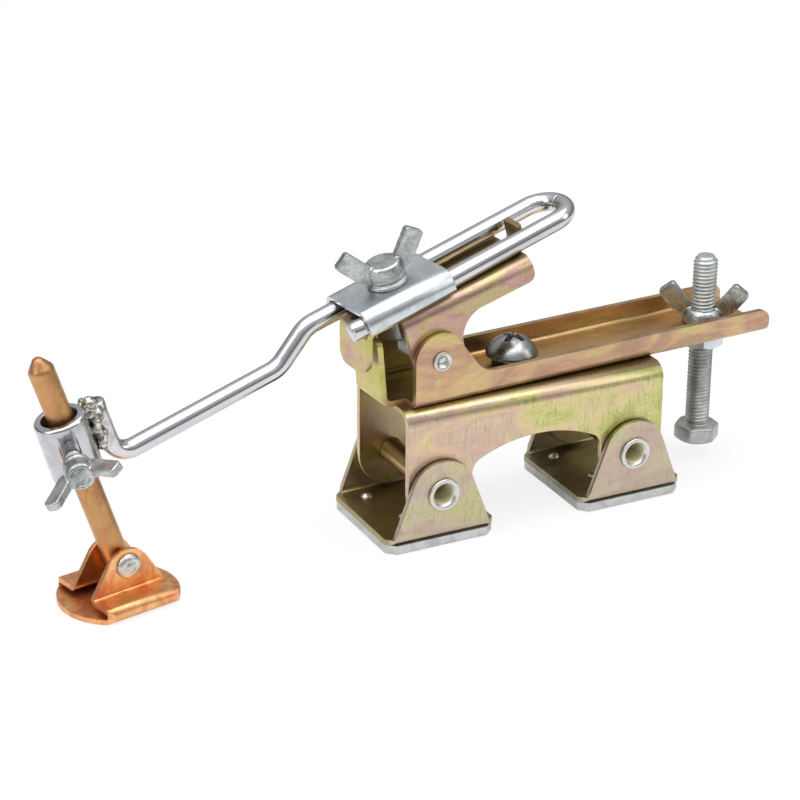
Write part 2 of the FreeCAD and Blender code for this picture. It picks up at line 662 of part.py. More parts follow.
keep("rod_arm", arm, arm_frame)

# Collar welded to the stub, with a threaded hole for its wing screw
chamfer_outer = collar_outer - COLLAR_CHAMFER
collar = turned([
    (collar_bore, 0, 0), (chamfer_outer, 0, 0), (collar_outer, COLLAR_CHAMFER, 0),
    (collar_outer, COLLAR_HEIGHT - COLLAR_CHAMFER, 0), (chamfer_outer, COLLAR_HEIGHT, 0),
    (collar_bore, COLLAR_HEIGHT, 0)])
screw_frame = frame_at(UP * COLLAR_SCREW_RAISE, UP, -COLLAR_SCREW_YAW)
screw_frame = screw_frame.multiply(frame_at(ORIGIN, ALONG, QUARTER_TURN))
thread_hole = Part.makeCylinder(M5_RADIUS + RUN_GAP, 2 * collar_outer)
thread_hole.Placement = screw_frame
collar = collar.cut(thread_hole)
keep("collar", collar, collar_frame)

# Weld bead: two rows of overlapping lumps in the corners between collar and stub
stub_offset = stub_place - COLLAR_PLACE
stub_core = arm.copy()
stub_core.translate(V(-COLLAR_PLACE, -LEG_HALF, -collar_low))
collar_core = Part.makeCylinder(collar_outer, 2 * COLLAR_HEIGHT)
bead_place = (collar_outer + stub_offset - ROD_RADIUS) / 2
bead_height = BEAD_STEP * (BEAD_LUMPS - 1)
lumps = []
for side in (-1, 1):
    for index in range(BEAD_LUMPS):
        lump_middle = V(bead_place, side * BEAD_SIDE, BEAD_RAISE + BEAD_STEP * index)
        lumps.append(Part.makeSphere(BEAD_LUMP, lump_middle))
web_corner = V(bead_place - BEAD_SIDE, -BEAD_SIDE, BEAD_RAISE)
web = Part.makeBox(2 * BEAD_SIDE, 2 * BEAD_SIDE, bead_height, web_corner)
bead = lumps[0].fuse(lumps[1:] + [web]).cut(collar_core).cut(stub_core)
keep("weld_bead", bead, collar_frame)

# Wing screw that grips the electrode
screw_seat = collar_outer + COLLAR_SCREW_STANDOFF
collar_screw = winged_hub(
    screw_seat, SMALL_HUB, SMALL_FLANGE, SMALL_CROWN, SMALL_REACH, SMALL_RISE,
    SMALL_BLADE, SMALL_THICK, SMALL_ELBOW)
dimple_base = screw_seat + SMALL_HUB - SMALL_DIMPLE_DEPTH
collar_screw = collar_screw.cut(Part.makeCylinder(SMALL_DIMPLE, SMALL_HUB, UP * dimple_base))
collar_screw = collar_screw.fuse(stud(M5_RADIUS, screw_seat + SHANK_ROOT, COPPER_RADIUS + COLLAR_SCREW_GAP))
collar_screw.rotate(ORIGIN, UP, COLLAR_SCREW_TURN)
screw_place = collar_frame.multiply(screw_frame)
keep("collar_screw", collar_screw, screw_place)

# Copper electrode with a pointed top and a cross hole for the foot rivet
copper_place = FreeCAD.Placement(copper_pivot, FreeCAD.Rotation(UP, electrode_axis))
copper_rod = turned([
    (0, -COPPER_END, 0), (COPPER_RADIUS, -COPPER_END, COPPER_END_ROUND),
    (COPPER_RADIUS, COPPER_LENGTH - COPPER_POINT, COPPER_SHOULDER),
    (COPPER_FLAT, COPPER_LENGTH, COPPER_FLAT_ROUND), (0, COPPER_LENGTH, 0)])
copper_rod.Placement = copper_place
copper_ear_outer = COPPER_RADIUS + COPPER_EAR_PLAY + COPPER_SHEET
copper_hole = cross_bore(COPPER_RIVET + RUN_GAP, copper_ear_outer, 0, PIVOT_LEVEL)
copper_hole.Placement = copper_frame.multiply(copper_hole.Placement)
keep("copper_rod", copper_rod.cut(copper_hole), world)

# Copper foot: a disc folded back on itself at both sides, its leaves turned up as two ears
ear_inner = copper_ear_outer - COPPER_SHEET
hem_inner = COPPER_HEM_SIDE - COPPER_SHEET
leaf_under = COPPER_HEM_HEIGHT - COPPER_SHEET
hem_round_inner = COPPER_HEM_ROUND - COPPER_SHEET
foot_section = mirrored([
    (-COPPER_HEM_SIDE, 0, COPPER_HEM_ROUND), (-COPPER_HEM_SIDE, COPPER_HEM_HEIGHT, COPPER_HEM_ROUND),
    (-copper_ear_outer, COPPER_HEM_HEIGHT, COPPER_BEND - COPPER_SHEET),
    (-copper_ear_outer, COPPER_EAR_PEAK, 0), (-ear_inner, COPPER_EAR_PEAK, 0),
    (-ear_inner, leaf_under, COPPER_BEND),
    (-hem_inner, leaf_under, hem_round_inner), (-hem_inner, COPPER_SHEET, hem_round_inner)])
foot_side = mirrored([
    (-COPPER_DISC, 0, 0), (-COPPER_DISC, COPPER_SHEET, 0), (-COPPER_EAR_FOOT, COPPER_SHEET, 0),
    (-COPPER_EAR_FOOT, COPPER_HEM_HEIGHT, 0)], [(0, COPPER_EAR_PEAK, COPPER_EAR_ROUND)])
copper_foot = end_slab(foot_section, -COPPER_DISC, COPPER_DISC)
copper_foot = copper_foot.common(Part.makeCylinder(COPPER_DISC, COPPER_EAR_PEAK))
copper_foot = copper_foot.common(side_slab(foot_side, -COPPER_DISC, COPPER_DISC))
copper_foot = copper_foot.cut(cross_bore(COPPER_RIVET, copper_ear_outer, 0, PIVOT_LEVEL))
keep("copper_foot", copper_foot, copper_frame)
rivet_head = domed(COPPER_RIVET_HEAD, COPPER_RIVET_RISE, COPPER_RIVET_RIM, copper_ear_outer)
rivet_far = rivet_head.copy()
rivet_far.rotate(ORIGIN, ALONG, FULL_TURN / 2)
foot_rivet = Part.makeCylinder(COPPER_RIVET, 2 * copper_ear_outer, UP * -copper_ear_outer)
foot_rivet = foot_rivet.fuse([rivet_head, rivet_far])
keep("foot_rivet", foot_rivet, copper_frame.multiply(frame_at(UP * PIVOT_LEVEL, ALONG, QUARTER_TURN)))

# Jack bolt, its nut under the channel and its wing nut on top
jack_frame = channel_frame.multiply(frame_at(ALONG * jack_place, UP, 0))
jack_top = JACK_LOW + JACK_LENGTH
jack_bolt = hexagon(HEX_M8, JACK_LOW, JACK_LOW + JACK_HEAD)
jack_bolt.rotate(ORIGIN, UP, JACK_HEAD_TURN)
jack_bolt = jack_bolt.fuse(stud(M8_RADIUS, JACK_LOW + SHANK_ROOT, jack_top))
keep("jack_bolt", jack_bolt, jack_frame)
jack_thread = Part.makeCylinder(M8_RADIUS + RUN_GAP, jack_top)
keep("jack_nut", hexagon(HEX_M8, BRIDGE_TOP - JACK_NUT, BRIDGE_TOP).cut(jack_thread), jack_frame)
jack_wing = winged_hub(
    floor_top, JACK_WING_HUB, WING_FLANGE, WING_CROWN, WING_REACH, JACK_WING_RISE,
    WING_BLADE, WING_THICK, WING_ELBOW)
keep("jack_wing_nut", jack_wing.cut(jack_thread), jack_frame.multiply(frame_at(ORIGIN, UP, JACK_WING_TURN)))

# Each piece goes to its own file, and the frames of the moving pieces are printed for the joints
for name, piece in pieces.items():
    piece.exportStep("parts/" + name + ".step")
    box = piece.BoundBox
    corners = [round(v, 2) for v in (box.XMin, box.YMin, box.ZMin, box.XMax, box.YMax, box.ZMax)]
    print(name, len(piece.Solids), piece.isValid(), round(piece.Volume, 1), corners)
joint_frames = {
    "lever": lever_frame, "arm": arm_frame, "screw": screw_place,
    "electrode": copper_place, "copper foot": copper_frame, "jack": jack_frame}
for label, frame in joint_frames.items():
    turn = frame.Rotation
    print(label, "origin", frame.Base, "axes", turn.multVec(ALONG), turn.multVec(ACROSS), turn.multVec(UP))
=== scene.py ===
# %% [markdown]
# # A magnetic welding clamp
# The CAD model gives every solid of the clamp, its bodies and its joints. This script dresses it:
# plated steel with the rainbow of a passivated surface, chrome, cast zinc, copper and a rough weld,
# under one soft studio light. Everything is in metres, in the frame of the CAD model.

# %% Tools
import json
import math
import random

import bmesh
import bpy
from mathutils import Matrix, Quaternion, Vector, noise


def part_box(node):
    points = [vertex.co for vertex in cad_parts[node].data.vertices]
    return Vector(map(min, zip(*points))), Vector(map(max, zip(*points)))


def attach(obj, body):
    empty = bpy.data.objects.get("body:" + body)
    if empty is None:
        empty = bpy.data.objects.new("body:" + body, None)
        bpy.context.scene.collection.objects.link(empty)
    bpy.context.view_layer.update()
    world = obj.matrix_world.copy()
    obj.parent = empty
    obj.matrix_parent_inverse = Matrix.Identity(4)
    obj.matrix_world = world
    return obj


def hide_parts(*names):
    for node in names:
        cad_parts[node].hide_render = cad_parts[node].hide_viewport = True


MM = 0.001
UP = Vector((0, 0, 1))

# %% [markdown]
# ## The frame
# The packed model is the fixed frame. Its joints say where each moving piece turns or slides, so the
# frames of the slanted pieces are read from them and never typed in again.

# %% Load the frame
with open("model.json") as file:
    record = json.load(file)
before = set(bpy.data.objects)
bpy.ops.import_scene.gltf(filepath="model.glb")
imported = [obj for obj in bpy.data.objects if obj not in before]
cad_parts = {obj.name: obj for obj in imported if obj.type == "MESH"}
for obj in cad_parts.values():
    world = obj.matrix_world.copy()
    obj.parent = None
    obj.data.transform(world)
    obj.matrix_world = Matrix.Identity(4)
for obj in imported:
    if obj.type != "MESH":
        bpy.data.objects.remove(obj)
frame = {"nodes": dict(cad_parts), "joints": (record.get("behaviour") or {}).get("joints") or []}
nodes = frame["nodes"]
joints = {joint["name"]: joint for joint in frame["joints"]}
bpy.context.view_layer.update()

# %% [markdown]
# ## Frames of the moving pieces
# The arm, its wing bolt, the jack and the collar's screw stand at odd angles. Their pieces are easier
# to draw upright at an origin, and a matrix then sets each of them on its joint.


# %% Frames of the moving pieces
def axis_of(joint):
    return Vector(joints[joint]["axis"]).normalized()


def place_of(joint):
    return Vector(joints[joint]["pos_m"])


def frame_of(origin, x, z):
    """A matrix with its columns along x, z cross x and z, at origin."""
    y = z.cross(x).normalized()
    x = y.cross(z)
    turn = Matrix((x, y, z)).transposed().to_4x4()
    return Matrix.Translation(origin) @ turn


arm_frame = frame_of(place_of("wing_bolt_turn"), axis_of("arm_slide"), axis_of("wing_bolt_turn"))
along_channel = axis_of("lever_hinge").cross(UP)
jack_frame = frame_of(place_of("jack_nut_turn"), along_channel, UP)
screw_axis = axis_of("collar_screw_turn")
screw_frame = frame_of(
    place_of("collar_screw_turn"), axis_of("wing_bolt_turn").cross(screw_axis), screw_axis)
print("bolt frame at", [round(v, 4) for v in arm_frame.translation])

# %% [markdown]
# ## Writing shader maths
# A finish is worked out from noise and position. Written as nodes by hand that is hard to read, so a
# small class wraps a socket and turns Python arithmetic into Math nodes. Any other node comes from
# one method that takes its type, its settings and what goes into its sockets.


# %% Socket arithmetic
class Value:
    """One output socket. Arithmetic on it adds Math nodes to its graph."""

    def __init__(self, graph, socket):
        self.graph = graph
        self.socket = socket

    def math(self, operation, *terms):
        sockets = dict(enumerate(terms))
        return self.graph.node("ShaderNodeMath", {"operation": operation}, sockets)

    def __add__(self, other):
        return self.math("ADD", self, other)

    def __radd__(self, other):
        return self.math("ADD", other, self)

    def __sub__(self, other):
        return self.math("SUBTRACT", self, other)

    def __rsub__(self, other):
        return self.math("SUBTRACT", other, self)

    def __mul__(self, other):
        return self.math("MULTIPLY", self, other)

    def __rmul__(self, other):
        return self.math("MULTIPLY", other, self)

    def math_one(self, operation):
        return self.math(operation, self)

    def between(self, low, high):
        """0 below low, 1 above high and smooth in between."""
        settings = {"interpolation_type": "SMOOTHSTEP"}
        return self.graph.node("ShaderNodeMapRange", settings, {"Value": self, 1: low, 2: high})


print("socket arithmetic ready")

# %% [markdown]
# ## Graphs and finishes
# Graph adds any node to a tree, and so serves the sky too. Finish is a graph round one Principled
# shader, with the few helpers that every material of the clamp needs: a place on the piece, a noise,
# a mix of two colours, a ramp and a bump.


# %% Node graphs and finishes
class Graph:
    """Adds nodes to a node tree and feeds their sockets."""

    def __init__(self, tree):
        self.tree = tree

    def node(self, kind, settings=None, sockets=None, output=0):
        made = self.tree.nodes.new(kind)
        for name, setting in (settings or {}).items():
            if name == "stops":
                self.set_stops(made.color_ramp, setting)
            else:
                setattr(made, name, setting)
        for name, value in (sockets or {}).items():
            self.feed(made.inputs[name], value)
        return Value(self, made.outputs[output])

    def set_stops(self, ramp, stops):
        while len(ramp.elements) < len(stops):
            ramp.elements.new(0.5)
        for element, (position, colour) in zip(ramp.elements, stops):
            element.position = position
            element.color = (*colour, 1)

    def feed(self, socket, value):
        if isinstance(value, Value):
            self.tree.links.new(value.socket, socket)
        elif socket.type == "RGBA":
            socket.default_value = (*value, 1)
        else:
            socket.default_value = value

    def coordinate(self, where, axis):
        return self.node("ShaderNodeSeparateXYZ", None, {"Vector": where}, output=axis)


class Finish(Graph):
    """A procedural material round one Principled shader."""

    def __init__(self, name):
        self.material = bpy.data.materials.new(name)
        self.material.use_nodes = True
        super().__init__(self.material.node_tree)
        self.shader = self.tree.nodes["Principled BSDF"]
        self.output = self.tree.nodes["Material Output"]

    def place(self, scale=(1, 1, 1), turn=(0, 0, 0)):
        """The place on the piece at rest, stretched by scale after a turn."""
        here = self.node("ShaderNodeTexCoord", output="Object")
        turned = self.node("ShaderNodeMapping", None, {"Vector": here, "Rotation": turn})
        return self.node("ShaderNodeMapping", None, {"Vector": turned, "Scale": scale})

    def noise(self, where, scale, detail=3.0, rough=0.5, warp=0.0):
        sockets = {
            "Vector": where, "Scale": scale, "Detail": detail, "Roughness": rough, "Distortion": warp}
        return self.node("ShaderNodeTexNoise", None, sockets)

    def mix(self, share, low, high):
        """A colour between two colours."""
        settings = {"data_type": "RGBA"}
        return self.node("ShaderNodeMix", settings, {0: share, 6: low, 7: high}, output=2)

    def ramp(self, value, *stops):
        return self.node("ShaderNodeValToRGB", {"stops": stops}, {"Fac": value})

    def bump(self, height, distance, strength=1.0):
        sockets = {"Height": height, "Distance": distance, "Strength": strength}
        self.feed(self.shader.inputs["Normal"], self.node("ShaderNodeBump", None, sockets))

    def surface(self, **sockets):
        for name, value in sockets.items():
            self.feed(self.shader.inputs[name.replace("_", " ")], value)
        return self.material


print("helpers", [name for name in vars(Finish) if not name.startswith("_")])

# %% [markdown]
# ## Yellow passivated zinc
# The pressed sheets are zinc plated and then passivated, which leaves a thin film that shines gold,
# with clouds of pink and green where it is thicker. A picture would do it, but a few layers of warped
# noise through a colour ramp give the same clouds at any size, and the sheet keeps its satin gloss.
# Between the walls the colour is painted shade, brown with deeper patches, and the bent front ends are
# the greenest.


# %% Yellow zinc
OLIVE_ENDS = -40 * MM
# Colours of the painted shade between the walls: olive towards the front, and a deeper brown in
# patches.
SHADE_OLIVE = (0.36, 0.29, 0.09)
DEEP_SHADE_BROWN = (0.13, 0.10, 0.04)
GRIME = (0.24, 0.18, 0.11)
PALE_GRAIN = (0.80, 0.74, 0.58)
DARK_STREAK = (0.24, 0.18, 0.10)


def yellow_zinc(name, stops, brushed, drift, inner, turn=0.0):
    """Passivated sheet.

    drift is the middle and the rate of the film's change along X. inner is half the width between the
    walls, the level of the floor, where the bent front starts, and the colour of the painted shade
    between the walls.
    """
    finish = Finish(name)
    clouds = finish.noise(finish.place((0.7, 1.5, 1.5)), 42, 2.5, 0.55, 1.4)
    patches = finish.noise(finish.place((0.8, 1.6, 1.6)), 130, 3, 0.6, 0.8)
    streaks = finish.noise(finish.place(brushed), 1300, 3, 0.6)
    grain = finish.noise(finish.place((0.6, 1, 1)), 2400, 2, 0.6)
    along = finish.coordinate(finish.place(), "X")
    drift_middle, drift_rate = drift
    inner_half, inner_floor, inner_front, inner_shade = inner
    turned = finish.place(turn=(0, 0, turn))
    lengthways = finish.coordinate(turned, "X")
    front = 1 - lengthways.between(inner_front - 0.5 * MM, inner_front + 0.5 * MM)
    film = clouds * 0.58 + patches * 0.12 + streaks * 0.14 + grain * 0.16
    film = film - (along - drift_middle) * drift_rate - front * 0.07
    colour = finish.ramp(film, *stops)
    side = finish.coordinate(turned, "Y").math_one("ABSOLUTE")
    between_walls = 1 - side.between(inner_half - 0.2 * MM, inner_half + 0.2 * MM)
    over_floor = finish.coordinate(turned, "Z").between(inner_floor - 0.4 * MM, inner_floor + 0.1 * MM)
    inside = between_walls * over_floor * (1 - front)
    # Painted shade between the walls: olive towards the front, the sheet's shade colour further back,
    # and deeper brown in patches.
    shade_patches = finish.noise(finish.place((0.25, 1, 1)), 95, 4, 0.6).between(0.42, 0.66)
    shade = finish.mix(lengthways.between(OLIVE_ENDS, 0), SHADE_OLIVE, inner_shade)
    shade = finish.mix(shade_patches * 0.55, shade, DEEP_SHADE_BROWN)
    colour = finish.mix(inside * 0.85, colour, shade)
    grime = finish.noise(finish.place(), 190, 5, 0.65).between(0.55, 0.78)
    colour = finish.mix(grime * 0.35, colour, GRIME)
    colour = finish.mix(grain.between(0.35, 0.75) * 0.16, colour, PALE_GRAIN)
    colour = finish.mix((1 - streaks.between(0.30, 0.50)) * 0.30, colour, DARK_STREAK)
    finish.bump(grain * 0.7 + streaks * 0.5, 0.00006, 0.5)
    finish.surface(Base_Color=colour, Metallic=1.0, Roughness=0.30 + streaks * 0.12 + grime * 0.15)
    return finish.material


print("yellow zinc ready")

# %% [markdown]
# ## One film for each sheet
# The bridge runs from rose at its left to green at its right, the feet are paler, the channel browner
# and the lever pinker. Each has its own stops along the ramp. The brushing runs upright on the bridge
# and the feet, and along the channel and the lever.

# %% Films of the four sheets
OLIVE = (0.38, 0.39, 0.12)
GREEN_GOLD = (0.51, 0.50, 0.19)
STRAW = (0.62, 0.51, 0.27)
ROSE = (0.62, 0.43, 0.31)
MAUVE = (0.52, 0.38, 0.31)
SAND = (0.58, 0.48, 0.30)
BRIDGE_STOPS = (
    (0.36, OLIVE), (0.43, GREEN_GOLD), (0.48, STRAW), (0.53, ROSE), (0.59, MAUVE), (0.66, SAND))
CHANNEL_STOPS = (
    (0.38, (0.44, 0.42, 0.10)), (0.44, (0.55, 0.46, 0.18)), (0.49, (0.54, 0.35, 0.19)),
    (0.56, (0.40, 0.22, 0.16)), (0.64, (0.38, 0.27, 0.12)))
LEVER_STOPS = (
    (0.38, (0.44, 0.43, 0.12)), (0.44, (0.52, 0.43, 0.17)), (0.49, (0.48, 0.31, 0.22)),
    (0.54, (0.44, 0.24, 0.24)), (0.60, (0.44, 0.34, 0.18)))
FOOT_STOPS = (
    (0.38, (0.37, 0.38, 0.14)), (0.45, (0.46, 0.44, 0.23)), (0.51, (0.49, 0.42, 0.31)),
    (0.57, (0.45, 0.33, 0.29)), (0.66, (0.41, 0.39, 0.25)))
UPRIGHT = (1, 1, 0.12)
LENGTHWISE = (0.12, 1, 1)
swivel_turn = math.atan2(-along_channel.y, along_channel.x)
channel_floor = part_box("swivel_spacer")[0].z
NO_FRONT = -1000 * MM
CHANNEL_FRONT = -49.5 * MM
LEVER_FRONT = -49.0 * MM
# The last entry of each inner tuple is the colour of the painted shade between the walls.
bridge_zinc = yellow_zinc(
    "bridge zinc", BRIDGE_STOPS, UPRIGHT, (0, 1.3), (15.9 * MM, 0, NO_FRONT, (0.28, 0.23, 0.13)))
foot_zinc = yellow_zinc(
    "foot zinc", FOOT_STOPS, UPRIGHT, (0, 0.4), (18.3 * MM, 0, NO_FRONT, (0.40, 0.37, 0.25)))
channel_zinc = yellow_zinc(
    "channel zinc", CHANNEL_STOPS, LENGTHWISE, (20 * MM, -0.8),
    (12.35 * MM, channel_floor, CHANNEL_FRONT, (0.62, 0.39, 0.16)), swivel_turn)
lever_zinc = yellow_zinc(
    "lever zinc", LEVER_STOPS, LENGTHWISE, (-42 * MM, -1.6),
    (10.3 * MM, 0, LEVER_FRONT, (0.36, 0.24, 0.10)), swivel_turn)
print("made", [m.name for m in (bridge_zinc, foot_zinc, channel_zinc, lever_zinc)])

# %% [markdown]
# ## Grey metals
# The clamp plate is satin with fine rolling lines, the cast wings are matte and a little grainy, and
# the collar is chromed. Screws, rivets, magnet plates and the spring lie between them. They differ in
# roughness and in the size of their grain more than in colour, so one function makes them all.


# %% Grey metals
def grey_metal(name, light, dark, rough, grain_scale, grain_height, stretch=(1, 1, 1), spangle=0.0):
    finish = Finish(name)
    grain = finish.noise(finish.place(stretch), grain_scale, 4, 0.6)
    clouds = finish.noise(finish.place(), 160, 4, 0.6, 0.8)
    colour = finish.mix(clouds.between(0.35, 0.70), light, dark)
    colour = finish.mix(grain.between(0.40, 0.62) * spangle, colour, dark)
    finish.bump(grain, grain_height, 0.6)
    finish.surface(Base_Color=colour, Metallic=1.0, Roughness=rough + grain * 0.10 + clouds * 0.08)
    return finish.material


bright_zinc = grey_metal(
    "bright zinc", (0.60, 0.63, 0.65), (0.49, 0.52, 0.54), 0.24, 900, 0.00004, (0.12, 1, 1))
cast_zinc = grey_metal(
    "cast zinc", (0.58, 0.60, 0.58), (0.27, 0.285, 0.28), 0.26, 1500, 0.00018, spangle=0.5)
collar_chrome = grey_metal(
    "collar chrome", (0.52, 0.52, 0.54), (0.42, 0.42, 0.44), 0.11, 700, 0.00002, (1, 1, 0.2))
thread_zinc = grey_metal("thread zinc", (0.53, 0.55, 0.53), (0.39, 0.41, 0.39), 0.40, 1100, 0.00004)
magnet_grey = grey_metal("magnet plate", (0.60, 0.61, 0.60), (0.46, 0.47, 0.46), 0.36, 600, 0.00008)
rivet_grey = grey_metal("rivet steel", (0.62, 0.61, 0.58), (0.44, 0.43, 0.40), 0.26, 1000, 0.00006)
screw_steel = grey_metal("polished steel", (0.38, 0.38, 0.37), (0.27, 0.27, 0.265), 0.19, 700, 0.00006)
spring_steel = grey_metal("spring steel", (0.60, 0.60, 0.58), (0.42, 0.42, 0.41), 0.24, 900, 0.00003)
print("made", [m.name for m in (bright_zinc, cast_zinc, magnet_grey, rivet_grey, screw_steel)])

# %% [markdown]
# ## Chrome and the hollow rivets
# Chrome shows its surroundings, so it needs an even surface more than a pattern: a faint change of
# tone, and a brown heat tint that the welder left round the bead. The hollow rivets are bare steel on
# their flared rims, brown between the walls and dull olive in their bores. One material serves all
# three parts, with masks worked out from the place on the rivet.

# %% Chrome and hollow rivets
TINT_NEAR = 5 * MM
TINT_FAR = 13 * MM
weld_low, weld_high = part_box("weld_bead")
weld_middle = (weld_low + weld_high) / 2
chrome = Finish("chrome")
from_weld = chrome.node(
    "ShaderNodeVectorMath", {"operation": "DISTANCE"},
    {0: chrome.place(), 1: tuple(weld_middle)}, output="Value")
smoke = chrome.noise(chrome.place(), 260, 3, 0.6, 1.0)
tint = (1 - from_weld.between(TINT_NEAR, TINT_FAR)) * smoke.between(0.35, 0.7)
faint = chrome.noise(chrome.place(), 55, 3, 0.5)
chrome_colour = chrome.mix(faint.between(0.3, 0.7), (0.60, 0.605, 0.62), (0.50, 0.505, 0.52))
chrome_colour = chrome.mix(tint * 0.55, chrome_colour, (0.36, 0.27, 0.19))
chrome.surface(Base_Color=chrome_colour, Metallic=1.0, Roughness=0.16 + faint * 0.08 + tint * 0.12)

RIM_INSIDE = 17.95 * MM
BORE_RADIUS = 3.15 * MM
RIM_RADIUS = 3.5 * MM
hollow = Finish("hollow rivet")
rivet_side = hollow.coordinate(hollow.place(), "Y").math_one("ABSOLUTE")
rim = rivet_side.between(RIM_INSIDE, RIM_INSIDE + 0.4 * MM)
rivet_x = hollow.coordinate(hollow.place(), "X").math_one("ABSOLUTE")
rivet_z = hollow.coordinate(hollow.place(), "Z")
pivot = place_of("foot_right_tilt")
from_axis = (rivet_x - pivot.x) * (rivet_x - pivot.x) + (rivet_z - pivot.z) * (rivet_z - pivot.z)
bore = 1 - from_axis.between(BORE_RADIUS ** 2, RIM_RADIUS ** 2)
hollow_grain = hollow.noise(hollow.place(), 900, 3, 0.6)
brown = hollow.mix(hollow_grain, (0.50, 0.33, 0.17), (0.40, 0.27, 0.14))
steel = hollow.mix(hollow_grain, (0.66, 0.66, 0.62), (0.50, 0.50, 0.46))
hollow.bump(hollow_grain, 0.00005, 0.5)
olive = hollow.mix(hollow_grain, (0.86, 0.80, 0.56), (0.48, 0.44, 0.28))
outside = hollow.mix(rim, brown, steel)
hollow.surface(
    Base_Color=hollow.mix(bore, outside, olive), Metallic=1 - bore * 0.85,
    Roughness=0.24 + hollow_grain * 0.12 + bore * 0.3)
print("made", chrome.material.name, hollow.material.name)

# %% [markdown]
# ## Copper
# The electrode is bare drawn copper with lines along it and darker bruises. The foot is folded from
# the same metal and a little redder. Copper that has been hot is never even, so red and golden stains
# are laid over the two base colours by another noise.


# %% Copper
def copper(name, light, dark, bright, red, gold, rough, stretch, turn):
    finish = Finish(name)
    lines = finish.noise(finish.place(stretch, turn), 500, 3, 0.6)
    clouds = finish.noise(finish.place(), 90, 4, 0.6, 0.7)
    tarnish = clouds.between(0.42, 0.72)
    colour = finish.mix(tarnish, light, dark)
    colour = finish.mix(lines.between(0.52, 0.70) * 0.4, colour, bright)
    stain = finish.noise(finish.place((1, 1, 0.5)), 190, 4, 0.6, 1.0)
    colour = finish.mix(stain.between(0.50, 0.64) * 0.55, colour, red)
    colour = finish.mix((1 - stain.between(0.34, 0.48)) * 0.5, colour, gold)
    finish.bump(lines + clouds * 0.5, 0.00006, 0.6)
    finish.surface(Base_Color=colour, Metallic=1.0, Roughness=rough + lines * 0.12 + tarnish * 0.12)
    return finish.material


copper_bar = copper(
    "copper bar", (0.48, 0.27, 0.11), (0.36, 0.18, 0.08), (0.60, 0.36, 0.19), (0.60, 0.25, 0.14),
    (0.52, 0.36, 0.13), 0.30, (1, 1, 0.1), (0, -0.3, 0))
copper_sheet = copper(
    "copper sheet", (0.82, 0.43, 0.19), (0.58, 0.25, 0.10), (0.90, 0.56, 0.32), (0.60, 0.17, 0.08),
    (0.72, 0.50, 0.22), 0.28, (0.25, 1, 1), (0, 0, -0.2))
print("made", copper_bar.name, copper_sheet.name)

# %% [markdown]
# ## Weld metal and black fibre
# The bead is grey steel with dark scale in its hollows, so one noise drives its colour, its gloss and
# its bump together. The spacer under the channel is black fibre, dark and dull, with no metal in it.

# %% Weld and fibre
weld = Finish("weld metal")
pits = weld.noise(weld.place(), 420, 4, 0.6, 0.5)
clean = pits.between(0.42, 0.60)
weld.bump(pits, 0.0002, 0.7)
weld.surface(
    Base_Color=weld.mix(clean, (0.14, 0.13, 0.10), (0.62, 0.61, 0.57)), Metallic=1.0,
    Roughness=0.48 - clean * 0.22)
fibre = Finish("black fibre")
fluff = fibre.noise(fibre.place(), 800, 3, 0.6)
fibre.bump(fluff, 0.00008, 0.5)
black = fibre.mix(fluff, (0.012, 0.012, 0.012), (0.035, 0.034, 0.033))
fibre.surface(Base_Color=black, Roughness=0.5 + fluff * 0.2)
print("made", weld.material.name, fibre.material.name)

# %% [markdown]
# ## Dressing the CAD nodes
# A pressed sheet has no knife edges. Each node keeps its shape and gets a narrow rounded edge from a
# Bevel modifier, which catches a thin line of light as real sheet does, and its finish by its name.

# %% Finish of each node
FINISHES = {
    bridge_zinc: ("bridge",),
    foot_zinc: ("foot_bracket_left", "foot_bracket_right"),
    channel_zinc: ("channel",),
    lever_zinc: ("lever",),
    bright_zinc: ("clamp_plate", "swivel_washer", "swivel_nut", "jack_nut", "wing_bolt_nut"),
    cast_zinc: ("wing_bolt", "jack_wing_nut", "collar_screw"),
    thread_zinc: ("jack_bolt",),
    collar_chrome: ("collar",),
    chrome.material: ("rod_arm",),
    magnet_grey: ("foot_magnet_left", "foot_magnet_right"),
    rivet_grey: ("foot_rivets_left", "foot_rivets_right", "hinge_pin", "foot_rivet"),
    hollow.material: ("pivot_tube_left", "pivot_tube_right"),
    screw_steel: ("swivel_screw",),
    spring_steel: ("torsion_spring",),
    copper_bar: ("copper_rod",),
    copper_sheet: ("copper_foot",),
    weld.material: ("weld_bead",),
    fibre.material: ("swivel_spacer",),
}


def dress(node, material, edge=0.0003):
    thing = nodes[node]
    thing.data.materials.clear()
    thing.data.materials.append(material)
    weld_seams = thing.modifiers.new("joined", "WELD")
    weld_seams.merge_threshold = 0.000004
    soften = thing.modifiers.new("edges", "BEVEL")
    soften.width = edge
    soften.segments = 2
    soften.limit_method = "ANGLE"
    soften.angle_limit = math.radians(32)
    soften.harden_normals = True


for material, names in FINISHES.items():
    for name in names:
        dress(name, material)
print("dressed", sum(len(names) for names in FINISHES.values()))

# %% [markdown]
# ## Turned pieces with threads
# A bolt is almost a lathe piece: at each height it has a radius, which changes with the angle on a
# hexagon and on a thread. A cylinder with a bump would keep a smooth outline, so the rings are
# built with the real radius at each angle, and the thread shows against the white ground.


# %% Rings to mesh
def new_piece(name, mesh, material, body, slot, *stands_for):
    """Turns a bmesh into a piece that rides on a body and stands for CAD nodes."""
    bmesh.ops.recalc_face_normals(mesh, faces=mesh.faces)
    data = bpy.data.meshes.new(name)
    mesh.to_mesh(data)
    mesh.free()
    data.shade_smooth()
    data.materials.append(material)
    thing = bpy.data.objects.new(name, data)
    bpy.context.scene.collection.objects.link(thing)
    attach(thing, body)
    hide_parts(*stands_for)
    print(name, "has", len(data.polygons), "faces")
    return thing


